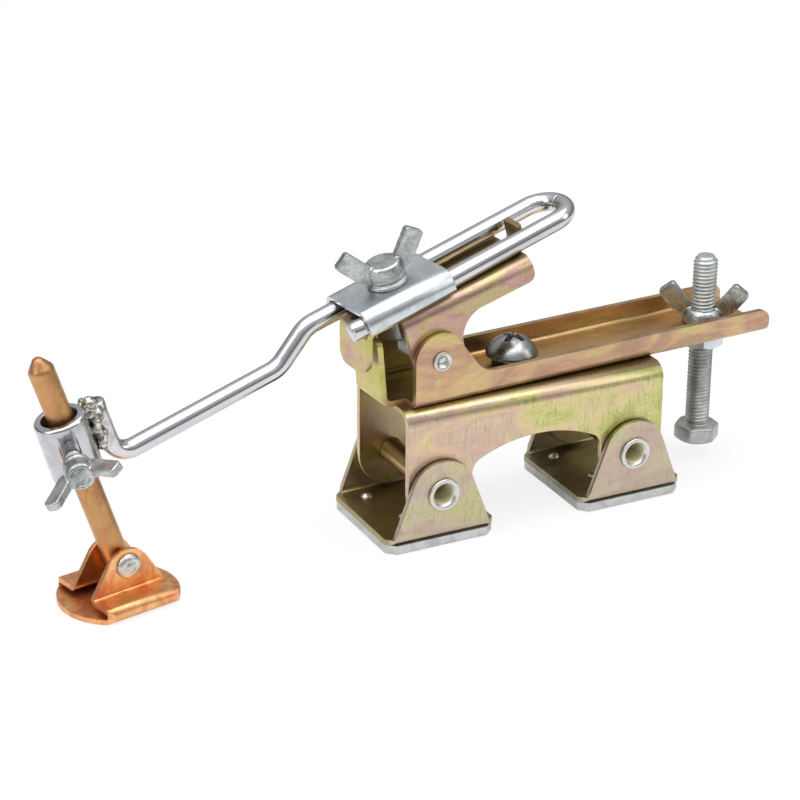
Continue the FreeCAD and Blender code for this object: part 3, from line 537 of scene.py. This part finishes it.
def add_skin(mesh, loops, open_ends=False):
    """Faces between loops of points, closed by caps, or from the last loop back to the first."""
    rows = [[mesh.verts.new(point) for point in loop] for loop in loops]
    pairs = list(zip(rows, rows[1:]))
    if open_ends:
        pairs.append((rows[-1], rows[0]))
    for low, high in pairs:
        for side in range(len(low)):
            after = (side + 1) % len(low)
            mesh.faces.new((low[side], low[after], high[after], high[side]))
    if not open_ends:
        mesh.faces.new(list(reversed(rows[0])))
        mesh.faces.new(rows[-1])


def add_rings(mesh, place, rings, sides=48, open_ends=False):
    """Rings given as (height, radius), where either may be a function of the angle."""
    loops = []
    for height, radius in rings:
        loop = []
        for side in range(sides):
            angle = 2 * math.pi * side / sides
            z = height(angle) if callable(height) else height
            reach = radius(angle, z) if callable(radius) else radius
            loop.append(place @ Vector((reach * math.cos(angle), reach * math.sin(angle), z)))
        loops.append(loop)
    add_skin(mesh, loops, open_ends)


def hexagon(across_flats, turn, limit):
    """The radius of a hexagon, held inside a chamfer whose radius limit gives at each height."""
    def radius_at(angle, height):
        from_flat = (angle - turn + math.pi / 6) % (math.pi / 3) - math.pi / 6
        return min(across_flats / 2 / math.cos(from_flat), limit(height))
    return radius_at


RIDGE_SLOPE = 2.6
RIDGE_ROOT = 0.12
CHAMFER_DEPTH = 0.42
RINGS_PER_TURN = 8


def thread_rings(core, crest, pitch, start, end, chamfer):
    """Rings of a right-hand thread from start to end, where it runs out in a chamfer."""
    def radius_at(angle, height):
        phase = (height / pitch - angle / (2 * math.pi)) % 1
        ridge = min(1, max(0, RIDGE_SLOPE * min(phase, 1 - phase) - RIDGE_ROOT))
        room = min(1, abs(end - height) / chamfer)
        run_in = min(1, abs(height - start) / pitch)
        return core + (crest - core) * ridge * run_in * room - (1 - room) * chamfer * CHAMFER_DEPTH
    count = int(abs(end - start) / pitch * RINGS_PER_TURN)
    return [(start + (end - start) * k / count, radius_at) for k in range(count + 1)]


print("turning tools ready")

# %% [markdown]
# ## The jack bolt
# A long hexagon bolt holds the tail of the channel at its height. Head, shank and thread are one
# stack of rings. The radius of a ring is that of the hexagon in the head and of the helix in the
# thread, whose last turns fade into the chamfer at the tip.

# %% Jack bolt
M8_CORE = 3.38 * MM
M8_CREST = 3.95 * MM
M8_PITCH = 1.25 * MM
M8_CHAMFER = 1.7 * MM
HEX_ACROSS = 13 * MM
HEX_HEIGHT = 5.3 * MM
HEX_TURN = along_channel.to_2d().angle_signed(Vector((1, 0))) + math.radians(66)
HEX_CHAMFER_START = 0.96
HEX_CHAMFER_SLOPE = 1.8
bolt_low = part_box("jack_bolt")[0].z
bolt_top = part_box("jack_bolt")[1].z
head_top = bolt_low + HEX_HEIGHT


def head_limit(height):
    """Both faces of the head are chamfered by a cone."""
    edge = min(height - bolt_low, head_top - height)
    return HEX_ACROSS / 2 * HEX_CHAMFER_START + edge * HEX_CHAMFER_SLOPE


head = hexagon(HEX_ACROSS, HEX_TURN, head_limit)
rings = [(bolt_low, HEX_ACROSS * 0.3), (bolt_low, head)]
rings += [(bolt_low + HEX_HEIGHT * share, head) for share in (0.08, 0.16, 0.84, 0.92)]
rings += [(head_top, head), (head_top, M8_CREST * 1.02)]
rings += thread_rings(M8_CORE, M8_CREST, M8_PITCH, head_top + 0.4 * MM, bolt_top, M8_CHAMFER)
rings += [(bolt_top, M8_CORE * share) for share in (0.74, 0.68)]
mesh = bmesh.new()
add_rings(mesh, Matrix.Translation((jack_frame.translation.x, jack_frame.translation.y, 0)), rings)
new_piece("threaded_jack_bolt", mesh, thread_zinc, "jack", "bright_zinc", "jack_bolt")

# %% [markdown]
# ## The domed screw
# The channel turns on a large dome-headed screw with a cross recess. The recess is pressed into the
# dome: each point of the dome's rings is lowered inside two crossing slots with soft walls.

# %% Dome with a cross recess
DOME_RADIUS = 8.25 * MM
DOME_RISE = 5.7 * MM
DOME_RIM = 0.9 * MM
RECESS_HALF = 4.3 * MM
RECESS_WIDTH = 1.9 * MM
RECESS_DEPTH = 2.6 * MM
RECESS_TURN = math.radians(33)
DOME_RINGS = 60
DOME_SIDES = 160
SHANK = 3.95 * MM
screw_low, screw_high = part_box("swivel_screw")
ball = (DOME_RADIUS ** 2 + DOME_RISE ** 2) / (2 * DOME_RISE)


def soft_step(value, low, high):
    share = min(1, max(0, (value - low) / (high - low)))
    return share * share * (3 - 2 * share)


def dome_height(radius):
    def height_at(angle):
        u = radius * math.cos(angle - RECESS_TURN)
        v = radius * math.sin(angle - RECESS_TURN)
        depth = 0
        for long, wide in ((u, v), (v, u)):
            slot = 1 - soft_step(abs(wide), RECESS_WIDTH * 0.32, RECESS_WIDTH * 0.62)
            depth = max(depth, slot * (1 - soft_step(abs(long), RECESS_HALF * 0.55, RECESS_HALF)))
        return screw_high.z - ball + math.sqrt(ball ** 2 - radius ** 2) - depth * RECESS_DEPTH
    return height_at


dome_edge = screw_high.z - DOME_RISE
rim_low = dome_edge - DOME_RIM
rings = [(screw_low.z, SHANK), (rim_low, SHANK), (rim_low, DOME_RADIUS - 0.3 * MM)]
rings += [(rim_low + 0.25 * MM, DOME_RADIUS)]
dome_radii = [DOME_RADIUS * k / DOME_RINGS for k in range(DOME_RINGS, 0, -1)]
rings += [(dome_height(radius), radius) for radius in dome_radii]
mesh = bmesh.new()
add_rings(mesh, Matrix.Identity(4), rings, DOME_SIDES)
new_piece("cross_recess_screw", mesh, screw_steel, "base", "screw_steel", "swivel_screw")

# %% [markdown]
# ## The chrome rod
# A polished round bar shows every facet of a coarse mesh as a jag in its reflections. The bar is one
# circle carried along the bent line of the real rod in fine steps, with its ends broken by a small
# chamfer.


# %% Swept bar
def rounded(corners, step):
    """Points along straight lines whose corners, given as (point, radius), are turned into arcs."""
    points = [corners[0][0]]
    for (before, _), (corner, radius), (after, _) in zip(corners, corners[1:], corners[2:]):
        back = (before - corner).normalized()
        ahead = (after - corner).normalized()
        half = back.angle(ahead) / 2
        centre = corner + (back + ahead).normalized() * radius / math.sin(half)
        start = corner + back * radius / math.tan(half) - centre
        turn = math.pi - 2 * half
        axis = back.cross(ahead)
        count = max(2, round(turn / step))
        for k in range(count + 1):
            points.append(centre + Quaternion(axis, -turn * k / count) @ start)
    return points + [corners[-1][0]]


def sweep(points, radii, sides=48):
    """Circles along a line of points, each turned no more than the line turns."""
    loops = []
    tangent = (points[1] - points[0]).normalized()
    side = tangent.orthogonal().normalized()
    for k, (point, radius) in enumerate(zip(points, radii)):
        ahead = (points[min(k + 1, len(points) - 1)] - points[max(k - 1, 0)]).normalized()
        side = tangent.rotation_difference(ahead) @ side
        tangent = ahead
        up = tangent.cross(side)
        loops.append([
            point + (side * math.cos(a) + up * math.sin(a)) * radius
            for a in (2 * math.pi * s / sides for s in range(sides))])
    return loops


def barred(points, radius, chamfer, spacing):
    """A swept bar with chamfered ends, its long straight runs cut into shorter steps."""
    line = []
    for low, high in zip(points, points[1:]):
        count = max(1, int((high - low).length / spacing))
        line += [low.lerp(high, k / count) for k in range(count)]
    line.append(points[-1])
    first = (line[1] - line[0]).normalized()
    last = (line[-1] - line[-2]).normalized()
    line = [line[0], line[0] + first * chamfer] + line[1:-1] + [line[-1] - last * chamfer, line[-1]]
    radii = [radius - chamfer] + [radius] * (len(line) - 2) + [radius - chamfer]
    return sweep(line, radii)


ROD_RADIUS = 3 * MM
ROD_LEVEL = 20.4 * MM
ROD_LOW = 12.4 * MM
ROD_HALF = 7.8 * MM
ROD_TOP = 32.0 * MM
ROD_CHAMFER = 0.35 * MM
SHORT_LEG_END = -19.9 * MM
LOOP_END = 64.3 * MM
JOG_HIGH = -26.2 * MM
JOG_LOW = -38.6 * MM
STUB_FOOT = -95.3 * MM
STUB_TOP = -95.9 * MM
JOG_BEND = 9 * MM
STUB_BEND = 6.6 * MM
rod_corners = [
    (Vector((SHORT_LEG_END, -ROD_HALF, ROD_LEVEL)), 0),
    (Vector((LOOP_END, -ROD_HALF, ROD_LEVEL)), ROD_HALF),
    (Vector((LOOP_END, ROD_HALF, ROD_LEVEL)), ROD_HALF),
    (Vector((JOG_HIGH, ROD_HALF, ROD_LEVEL)), JOG_BEND),
    (Vector((JOG_LOW, ROD_HALF, ROD_LOW)), JOG_BEND),
    (Vector((STUB_FOOT, ROD_HALF, ROD_LOW)), STUB_BEND),
    (Vector((STUB_TOP, ROD_HALF, ROD_TOP)), 0)]
rod_line = [arm_frame @ point for point in rounded(rod_corners, math.radians(5))]
mesh = bmesh.new()
add_skin(mesh, barred(rod_line, ROD_RADIUS, ROD_CHAMFER, 4 * MM))
new_piece("bent_chrome_rod", mesh, chrome.material, "arm", "chrome_rod", "rod_arm")

# %% [markdown]
# ## The electrode
# The copper bar is turned to a point at its top and rounded below, where the folded foot hangs on
# it. A profile of rings round its own axis gives both ends without a seam along its side.

# %% Electrode
electrode_foot = frame_of(
    place_of("copper_foot_tilt"), axis_of("copper_foot_tilt"), axis_of("electrode_slide"))
rings = [(-5.0, 2.9), (-4.7, 3.4), (-4.2, 3.75), (-3.6, 3.85), (20, 3.85), (45, 3.85), (65.9, 3.85)]
rings += [(66.5, 3.78), (67.0, 3.60), (67.4, 3.32), (69.4, 1.85), (69.9, 1.50), (70.25, 1.05)]
rings += [(70.4, 0.45)]
mesh = bmesh.new()
add_rings(mesh, electrode_foot, [(height * MM, radius * MM) for height, radius in rings])
new_piece("pointed_electrode", mesh, copper_bar, "electrode", "copper", "copper_rod")

# %% [markdown]
# ## The rivet of the copper foot
# The rivet's heads are peened, with a ring pressed into them by the tool. One half profile, mirrored
# and turned round the axis of the joint, makes both heads and the shank between them.

# %% Rivet of the copper foot
rings = [(6.0, 3.85), (6.35, 3.95), (6.7, 3.85), (7.2, 3.45), (7.55, 2.95), (7.75, 2.45), (7.72, 2.1)]
rings += [(7.6, 1.9), (7.75, 1.7), (8.0, 1.35), (8.15, 0.8), (8.2, 0.3)]
rings = [(-height, radius) for height, radius in reversed(rings)] + [(-6.0, 1.9), (6.0, 1.9)] + rings
rivet_frame = frame_of(place_of("copper_foot_tilt"), UP, axis_of("copper_foot_tilt"))
mesh = bmesh.new()
add_rings(mesh, rivet_frame, [(height * MM, radius * MM) for height, radius in rings], 40)
new_piece("peened_rivet", mesh, rivet_grey, "copper_shoe", "rivet_steel", "foot_rivet")

# %% [markdown]
# ## The hinge pin
# The pin of the lever shows a low collar with a shallow hexagonal socket at each side. It is a mirrored
# half profile too, and only the rings of the socket change with the angle.


# %% Hinge pin
def pin_socket(angle, height):
    from_flat = (angle + math.pi / 6) % (math.pi / 3) - math.pi / 6
    return 1.7 * MM / math.cos(from_flat)


rings = [(14.2, 2.5), (14.2, 3.0), (14.35, 3.1), (14.8, 3.1), (15.0, 2.9), (15.0, 2.15), (14.9, 2.05)]
socket = [(14.85 * MM, pin_socket), (14.0 * MM, pin_socket), (13.8 * MM, 0.3 * MM)]
rings = [(height * MM, radius * MM) for height, radius in rings] + socket
rings = [(-height, radius) for height, radius in reversed(rings)] + rings
mesh = bmesh.new()
add_rings(mesh, frame_of(place_of("lever_hinge"), UP, axis_of("lever_hinge")), rings, 60)
new_piece("socket_hinge_pin", mesh, rivet_grey, "swivel_channel", "rivet_steel", "hinge_pin")

# %% [markdown]
# ## Cast wings
# The two wing screws and the wing nut are castings: soft edges, a grainy skin and wings that flow
# into the hub. A hub of rings and two plates cut to the outline of a wing are joined by a voxel
# remesh, relaxed so that the edges round off as they do in a mould, and roughened a little.

# %% Wings
WING_SLOPE = math.radians(52)
FLANGE_THICK = 1.5 * MM
TIP_ROUND = 1.1 * MM
ROOT_ROUND = 1.5 * MM
CAST_VOXEL = 0.22 * MM
CAST_GRAIN = 0.05 * MM
CAST_GRAIN_SCALE = 1100


def wing_plate(mesh, place, low, hub, reach, rise, blade, thick, elbow):
    """One wing as a plate in the XZ plane of place."""
    floor_z = low + FLANGE_THICK
    tip_x = reach - blade * math.sin(WING_SLOPE)
    tip_z = low + rise - blade * math.cos(WING_SLOPE)
    elbow_x = reach - (tip_z - floor_z) / math.tan(WING_SLOPE)
    root_x = tip_x - (rise - hub) / math.tan(WING_SLOPE)
    outline = [(0, floor_z, 0), (elbow_x, floor_z, elbow), (reach, tip_z, TIP_ROUND)]
    outline += [(tip_x, low + rise, TIP_ROUND), (root_x, low + hub, ROOT_ROUND), (0, low + hub, 0)]
    points = rounded([(Vector((x, 0, z)), radius) for x, z, radius in outline], math.radians(12))
    loops = [[place @ (point + Vector((0, y, 0))) for point in points] for y in (-thick / 2, thick / 2)]
    add_skin(mesh, loops)


def casting(name, place, hub_rings, wing, bore, stud, material, body, slot, node):
    """A winged casting, joined and softened, with its threaded stud added sharp."""
    mesh = bmesh.new()
    add_rings(mesh, place, hub_rings, 64, bore)
    for turn in (0, math.pi):
        wing_plate(mesh, place @ Matrix.Rotation(turn, 4, "Z"), **wing)
    blank = bpy.data.meshes.new(name)
    mesh.to_mesh(blank)
    mesh.free()
    draft = bpy.data.objects.new(name + "_draft", blank)
    bpy.context.scene.collection.objects.link(draft)
    joined = draft.modifiers.new("one skin", "REMESH")
    joined.mode = "VOXEL"
    joined.voxel_size = CAST_VOXEL
    relaxed = draft.modifiers.new("mould edges", "SMOOTH")
    relaxed.factor = 0.5
    relaxed.iterations = 9
    skin = bpy.data.meshes.new_from_object(draft.evaluated_get(bpy.context.evaluated_depsgraph_get()))
    bpy.data.objects.remove(draft)
    mesh = bmesh.new()
    mesh.from_mesh(skin)
    for vertex in mesh.verts:
        grain = noise.fractal(vertex.co * CAST_GRAIN_SCALE, 0.8, 2.1, 3)
        vertex.co += vertex.normal * grain * CAST_GRAIN
    if stud:
        add_rings(mesh, place, stud)
    return new_piece(name, mesh, material, body, slot, node)


print("casting tools ready")

# %% [markdown]
# ## The three castings
# Wing bolt, jack nut and collar screw differ in the profile of the hub and the reach of the wings. The
# nut has a bore for the jack bolt. The two screws get a real thread, set in after the remesh, which
# would have melted it.

# %% Wing bolt, jack nut and collar screw
PLATE_TOP = 25.2 * MM
BOLT_END = 6 * MM
BOLT_TURN = Matrix.Rotation(math.radians(-8), 4, "Z")
hub = [(0.0, 5.9), (0.25, 6.35), (1.1, 6.35), (1.45, 5.5), (1.75, 5.3), (2.2, 5.85), (3.4, 6.1)]
hub += [(5.4, 5.85), (6.6, 5.55), (7.2, 5.0)]
casting(
    "cast_wing_bolt", arm_frame @ BOLT_TURN,
    [(PLATE_TOP + height * MM, radius * MM) for height, radius in hub],
    {"low": PLATE_TOP, "hub": 7.2 * MM, "reach": 14.8 * MM, "rise": 15 * MM, "blade": 6.1 * MM,
     "thick": 2.7 * MM, "elbow": 8 * MM}, False,
    thread_rings(M8_CORE, M8_CREST, M8_PITCH, PLATE_TOP + 0.5 * MM, BOLT_END, M8_CHAMFER),
    cast_zinc, "wing_bolt_body", "bright_zinc", "wing_bolt")
JACK_FLOOR = 46.9 * MM
JACK_TURN = Matrix.Rotation(math.radians(-38), 4, "Z")
hub = [(0.0, 3.98), (0.0, 6.2), (0.3, 6.7), (1.4, 6.7), (2.4, 6.4), (3.6, 6.0), (4.4, 5.5), (4.8, 4.9)]
hub += [(5.0, 3.98)]
casting(
    "cast_jack_wing_nut", jack_frame @ JACK_TURN,
    [(JACK_FLOOR + height * MM, radius * MM) for height, radius in hub],
    {"low": JACK_FLOOR, "hub": 5 * MM, "reach": 14.8 * MM, "rise": 13.6 * MM, "blade": 6.1 * MM,
     "thick": 2.7 * MM, "elbow": 8 * MM}, True, None,
    cast_zinc, "jack_wing", "bright_zinc", "jack_wing_nut")
SCREW_SEAT = 12.6 * MM
SCREW_END = 3.95 * MM
SCREW_TURN = Matrix.Rotation(math.radians(12), 4, "Z")
SCREW_CORE = 2.05 * MM
SCREW_CREST = 2.45 * MM
SCREW_PITCH = 0.8 * MM
SCREW_CHAMFER = 0.6 * MM
hub = [(0.0, 3.9), (0.3, 4.4), (1.3, 4.4), (2.0, 4.1), (4.0, 4.2), (5.8, 4.3), (6.6, 4.1), (7.0, 3.6)]
hub += [(7.0, 2.9), (6.3, 2.6)]
casting(
    "cast_collar_screw", screw_frame @ SCREW_TURN,
    [(SCREW_SEAT + height * MM, radius * MM) for height, radius in hub],
    {"low": SCREW_SEAT, "hub": 7 * MM, "reach": 12.4 * MM, "rise": 14.4 * MM, "blade": 4.6 * MM,
     "thick": 2.6 * MM, "elbow": 5 * MM}, False,
    thread_rings(
        SCREW_CORE, SCREW_CREST, SCREW_PITCH, SCREW_SEAT + 0.5 * MM, SCREW_END, SCREW_CHAMFER),
    cast_zinc, "collar_screw_body", "bright_zinc", "collar_screw")

# %% [markdown]
# ## The weld
# The collar is welded to the upright end of the rod. The bead is a row of cooled drops with pits
# between them. Drops are laid at random along both corners, joined by a voxel remesh, and roughened
# by noise, so that it has no repeated shape.

# %% Weld bead
WELD_DROPS = 40
WELD_LENGTH = 14 * MM
WELD_BELOW = 0.47
WELD_SPREAD = (0.8, 2.9)
COLLAR_SIDE = (-0.4, 1.0)
ROD_SIDE = (0.2, 2.0)
DROP_SIZES = (1.2, 2.3)
DROP_ROUGH = 0.24 * MM
DROP_ROUGH_SCALE = 450
WELD_VOXEL = 0.28 * MM
bead_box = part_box("weld_bead")
shuffle = random.Random(7)
up_arm = axis_of("wing_bolt_turn")
across_arm = arm_frame.to_3x3().col[1]
rod_way = arm_frame.to_3x3().col[0]
bead_middle = (bead_box[0] + bead_box[1]) / 2
mesh = bmesh.new()
for drop in range(WELD_DROPS):
    side = -1 if drop % 2 else 1
    share = (drop + shuffle.random()) / WELD_DROPS
    middle = bead_middle + up_arm * (share - WELD_BELOW) * WELD_LENGTH
    middle += across_arm * side * shuffle.uniform(*WELD_SPREAD) * MM
    middle += rod_way * shuffle.uniform(*(COLLAR_SIDE if side > 0 else ROD_SIDE)) * MM
    size = shuffle.uniform(*DROP_SIZES) * MM
    bmesh.ops.create_icosphere(mesh, subdivisions=2, radius=size, matrix=Matrix.Translation(middle))
weld_piece = new_piece("weld_drops", mesh, weld.material, "arm", "weld_steel", "weld_bead")
joined = weld_piece.modifiers.new("one skin", "REMESH")
joined.mode = "VOXEL"
joined.voxel_size = WELD_VOXEL
joined.use_smooth_shade = True
graph = bpy.context.evaluated_depsgraph_get()
skin = bpy.data.meshes.new_from_object(weld_piece.evaluated_get(graph))
for vertex in skin.vertices:
    rough = noise.fractal(vertex.co * DROP_ROUGH_SCALE, 0.9, 2.2, 3)
    vertex.co += vertex.normal * rough * DROP_ROUGH
weld_piece.modifiers.clear()
weld_piece.data = skin
skin.shade_smooth()
print("weld faces", len(skin.polygons))

# %% [markdown]
# ## The floor
# The photograph has a white ground without a visible edge. The floor is a wide pale sheet, and most
# of what the camera sees of it is its own glow. So it shows white without more light on the clamp,
# and the rest of its colour keeps a faint shadow. Bright metal reflects some of that glow too.


# %% Floor
def floor_sheet(name, half):
    mesh = bmesh.new()
    bmesh.ops.create_grid(mesh, x_segments=4, y_segments=4, size=half)
    data = bpy.data.meshes.new(name)
    mesh.to_mesh(data)
    mesh.free()
    thing = bpy.data.objects.new(name, data)
    bpy.context.scene.collection.objects.link(thing)
    return thing


FLOOR_HALF = 2.5
FLOOR_BELOW = 0.2 * MM
GLOW_TO_CAMERA = 0.82
GLOW_TO_METAL = 0.30
GLOW_TO_GLASS = 0.8
floor = floor_sheet("floor", FLOOR_HALF)
floor.location.z = -FLOOR_BELOW
pale = Finish("pale floor")
to_camera = pale.node("ShaderNodeLightPath", output="Is Camera Ray")
to_metal = pale.node("ShaderNodeLightPath", output="Is Glossy Ray")
to_glass = pale.node("ShaderNodeLightPath", output="Is Transmission Ray")
shown = to_camera * GLOW_TO_CAMERA + to_metal * GLOW_TO_METAL + to_glass * GLOW_TO_GLASS
speck = pale.noise(pale.place(), 3, 2, 0.5)
pale.surface(Base_Color=pale.mix(speck, (0.84, 0.84, 0.84), (0.86, 0.86, 0.86)), Roughness=0.9)
glow = pale.node("ShaderNodeEmission", None, {"Color": (1, 1, 1), "Strength": 1.0})
plain = Value(pale, pale.shader.outputs[0])
ground = pale.node("ShaderNodeMixShader", None, {0: shown, 1: plain, 2: glow})
pale.tree.links.new(ground.socket, pale.output.inputs["Surface"])
floor.data.materials.append(pale.material)
print("floor", floor.dimensions[:])

# %% [markdown]
# ## Lamps and sky
# A large lamp above, a smaller one at the left and a narrow one at the right give the soft light of a
# light tent. Bright metal shows the sky as well, so the sky is grey at the horizon, darkest a little
# above it and pale overhead, which draws a dark line along the rod. The camera itself sees it white.


# %% Lamps and world
def softbox(name, place, aim, size, power):
    light = bpy.data.lights.new(name, "AREA")
    light.shape = "RECTANGLE"
    light.size, light.size_y = size
    light.energy = power
    thing = bpy.data.objects.new(name, light)
    thing.location = place
    thing.rotation_mode = "QUATERNION"
    thing.rotation_quaternion = (Vector(aim) - Vector(place)).to_track_quat("-Z", "Y")
    bpy.context.scene.collection.objects.link(thing)
    return thing


softbox("top light", (-0.05, -0.15, 1.1), (-0.03, 0, 0.03), (1.5, 1.1), 13)
softbox("left light", (-1.0, -0.1, 0.7), (-0.05, 0, 0.04), (0.5, 0.9), 4)
softbox("right light", (0.9, -0.6, 0.6), (0, 0, 0.04), (0.30, 0.7), 1.6)

world = bpy.data.worlds.new("studio")
bpy.context.scene.world = world
world.use_nodes = True
SKY_LEVELS = ((0.0, 0.26), (0.14, 0.16), (0.40, 0.50), (0.75, 0.75), (1.0, 0.90))
sky = Graph(world.node_tree)
above = sky.coordinate(sky.node("ShaderNodeTexCoord", output="Generated"), "Z")
greys = [(height, (grey, grey, grey * 1.02)) for height, grey in SKY_LEVELS]
studio = sky.node("ShaderNodeValToRGB", {"stops": greys}, {"Fac": above})
seen = sky.node("ShaderNodeLightPath", output="Is Camera Ray")
backdrop = sky.node(
    "ShaderNodeMix", {"data_type": "RGBA"}, {0: seen, 6: studio, 7: (1, 1, 1)}, output=2)
sky.feed(sky.tree.nodes["Background"].inputs["Color"], backdrop)

# %% [markdown]
# ## The camera
# Place, angle, roll and lens are those that were fitted to the photograph, so the clamp stands in the
# picture as it does there.

# %% Camera
CAMERA_PLACE = Vector((-0.3568, -0.6294, 0.3515))
CAMERA_AZIMUTH = math.radians(-26.804)
CAMERA_HEIGHT = math.radians(23.712)
CAMERA_ROLL = math.radians(0.344)
LENS = 113.34
level = math.cos(CAMERA_HEIGHT)
back = Vector((
    math.sin(CAMERA_AZIMUTH) * level, -math.cos(CAMERA_AZIMUTH) * level, math.sin(CAMERA_HEIGHT)))
camera = bpy.data.objects.new("camera", bpy.data.cameras.new("camera"))
camera.data.lens = LENS
camera.location = CAMERA_PLACE
camera.rotation_mode = "QUATERNION"
camera.rotation_quaternion = (-back).to_track_quat("-Z", "Y") @ Quaternion(UP, CAMERA_ROLL)
bpy.context.scene.collection.objects.link(camera)
bpy.context.scene.camera = camera
bpy.context.scene.view_settings.view_transform = "Standard"
print("camera lens", camera.data.lens)

# %% [markdown]
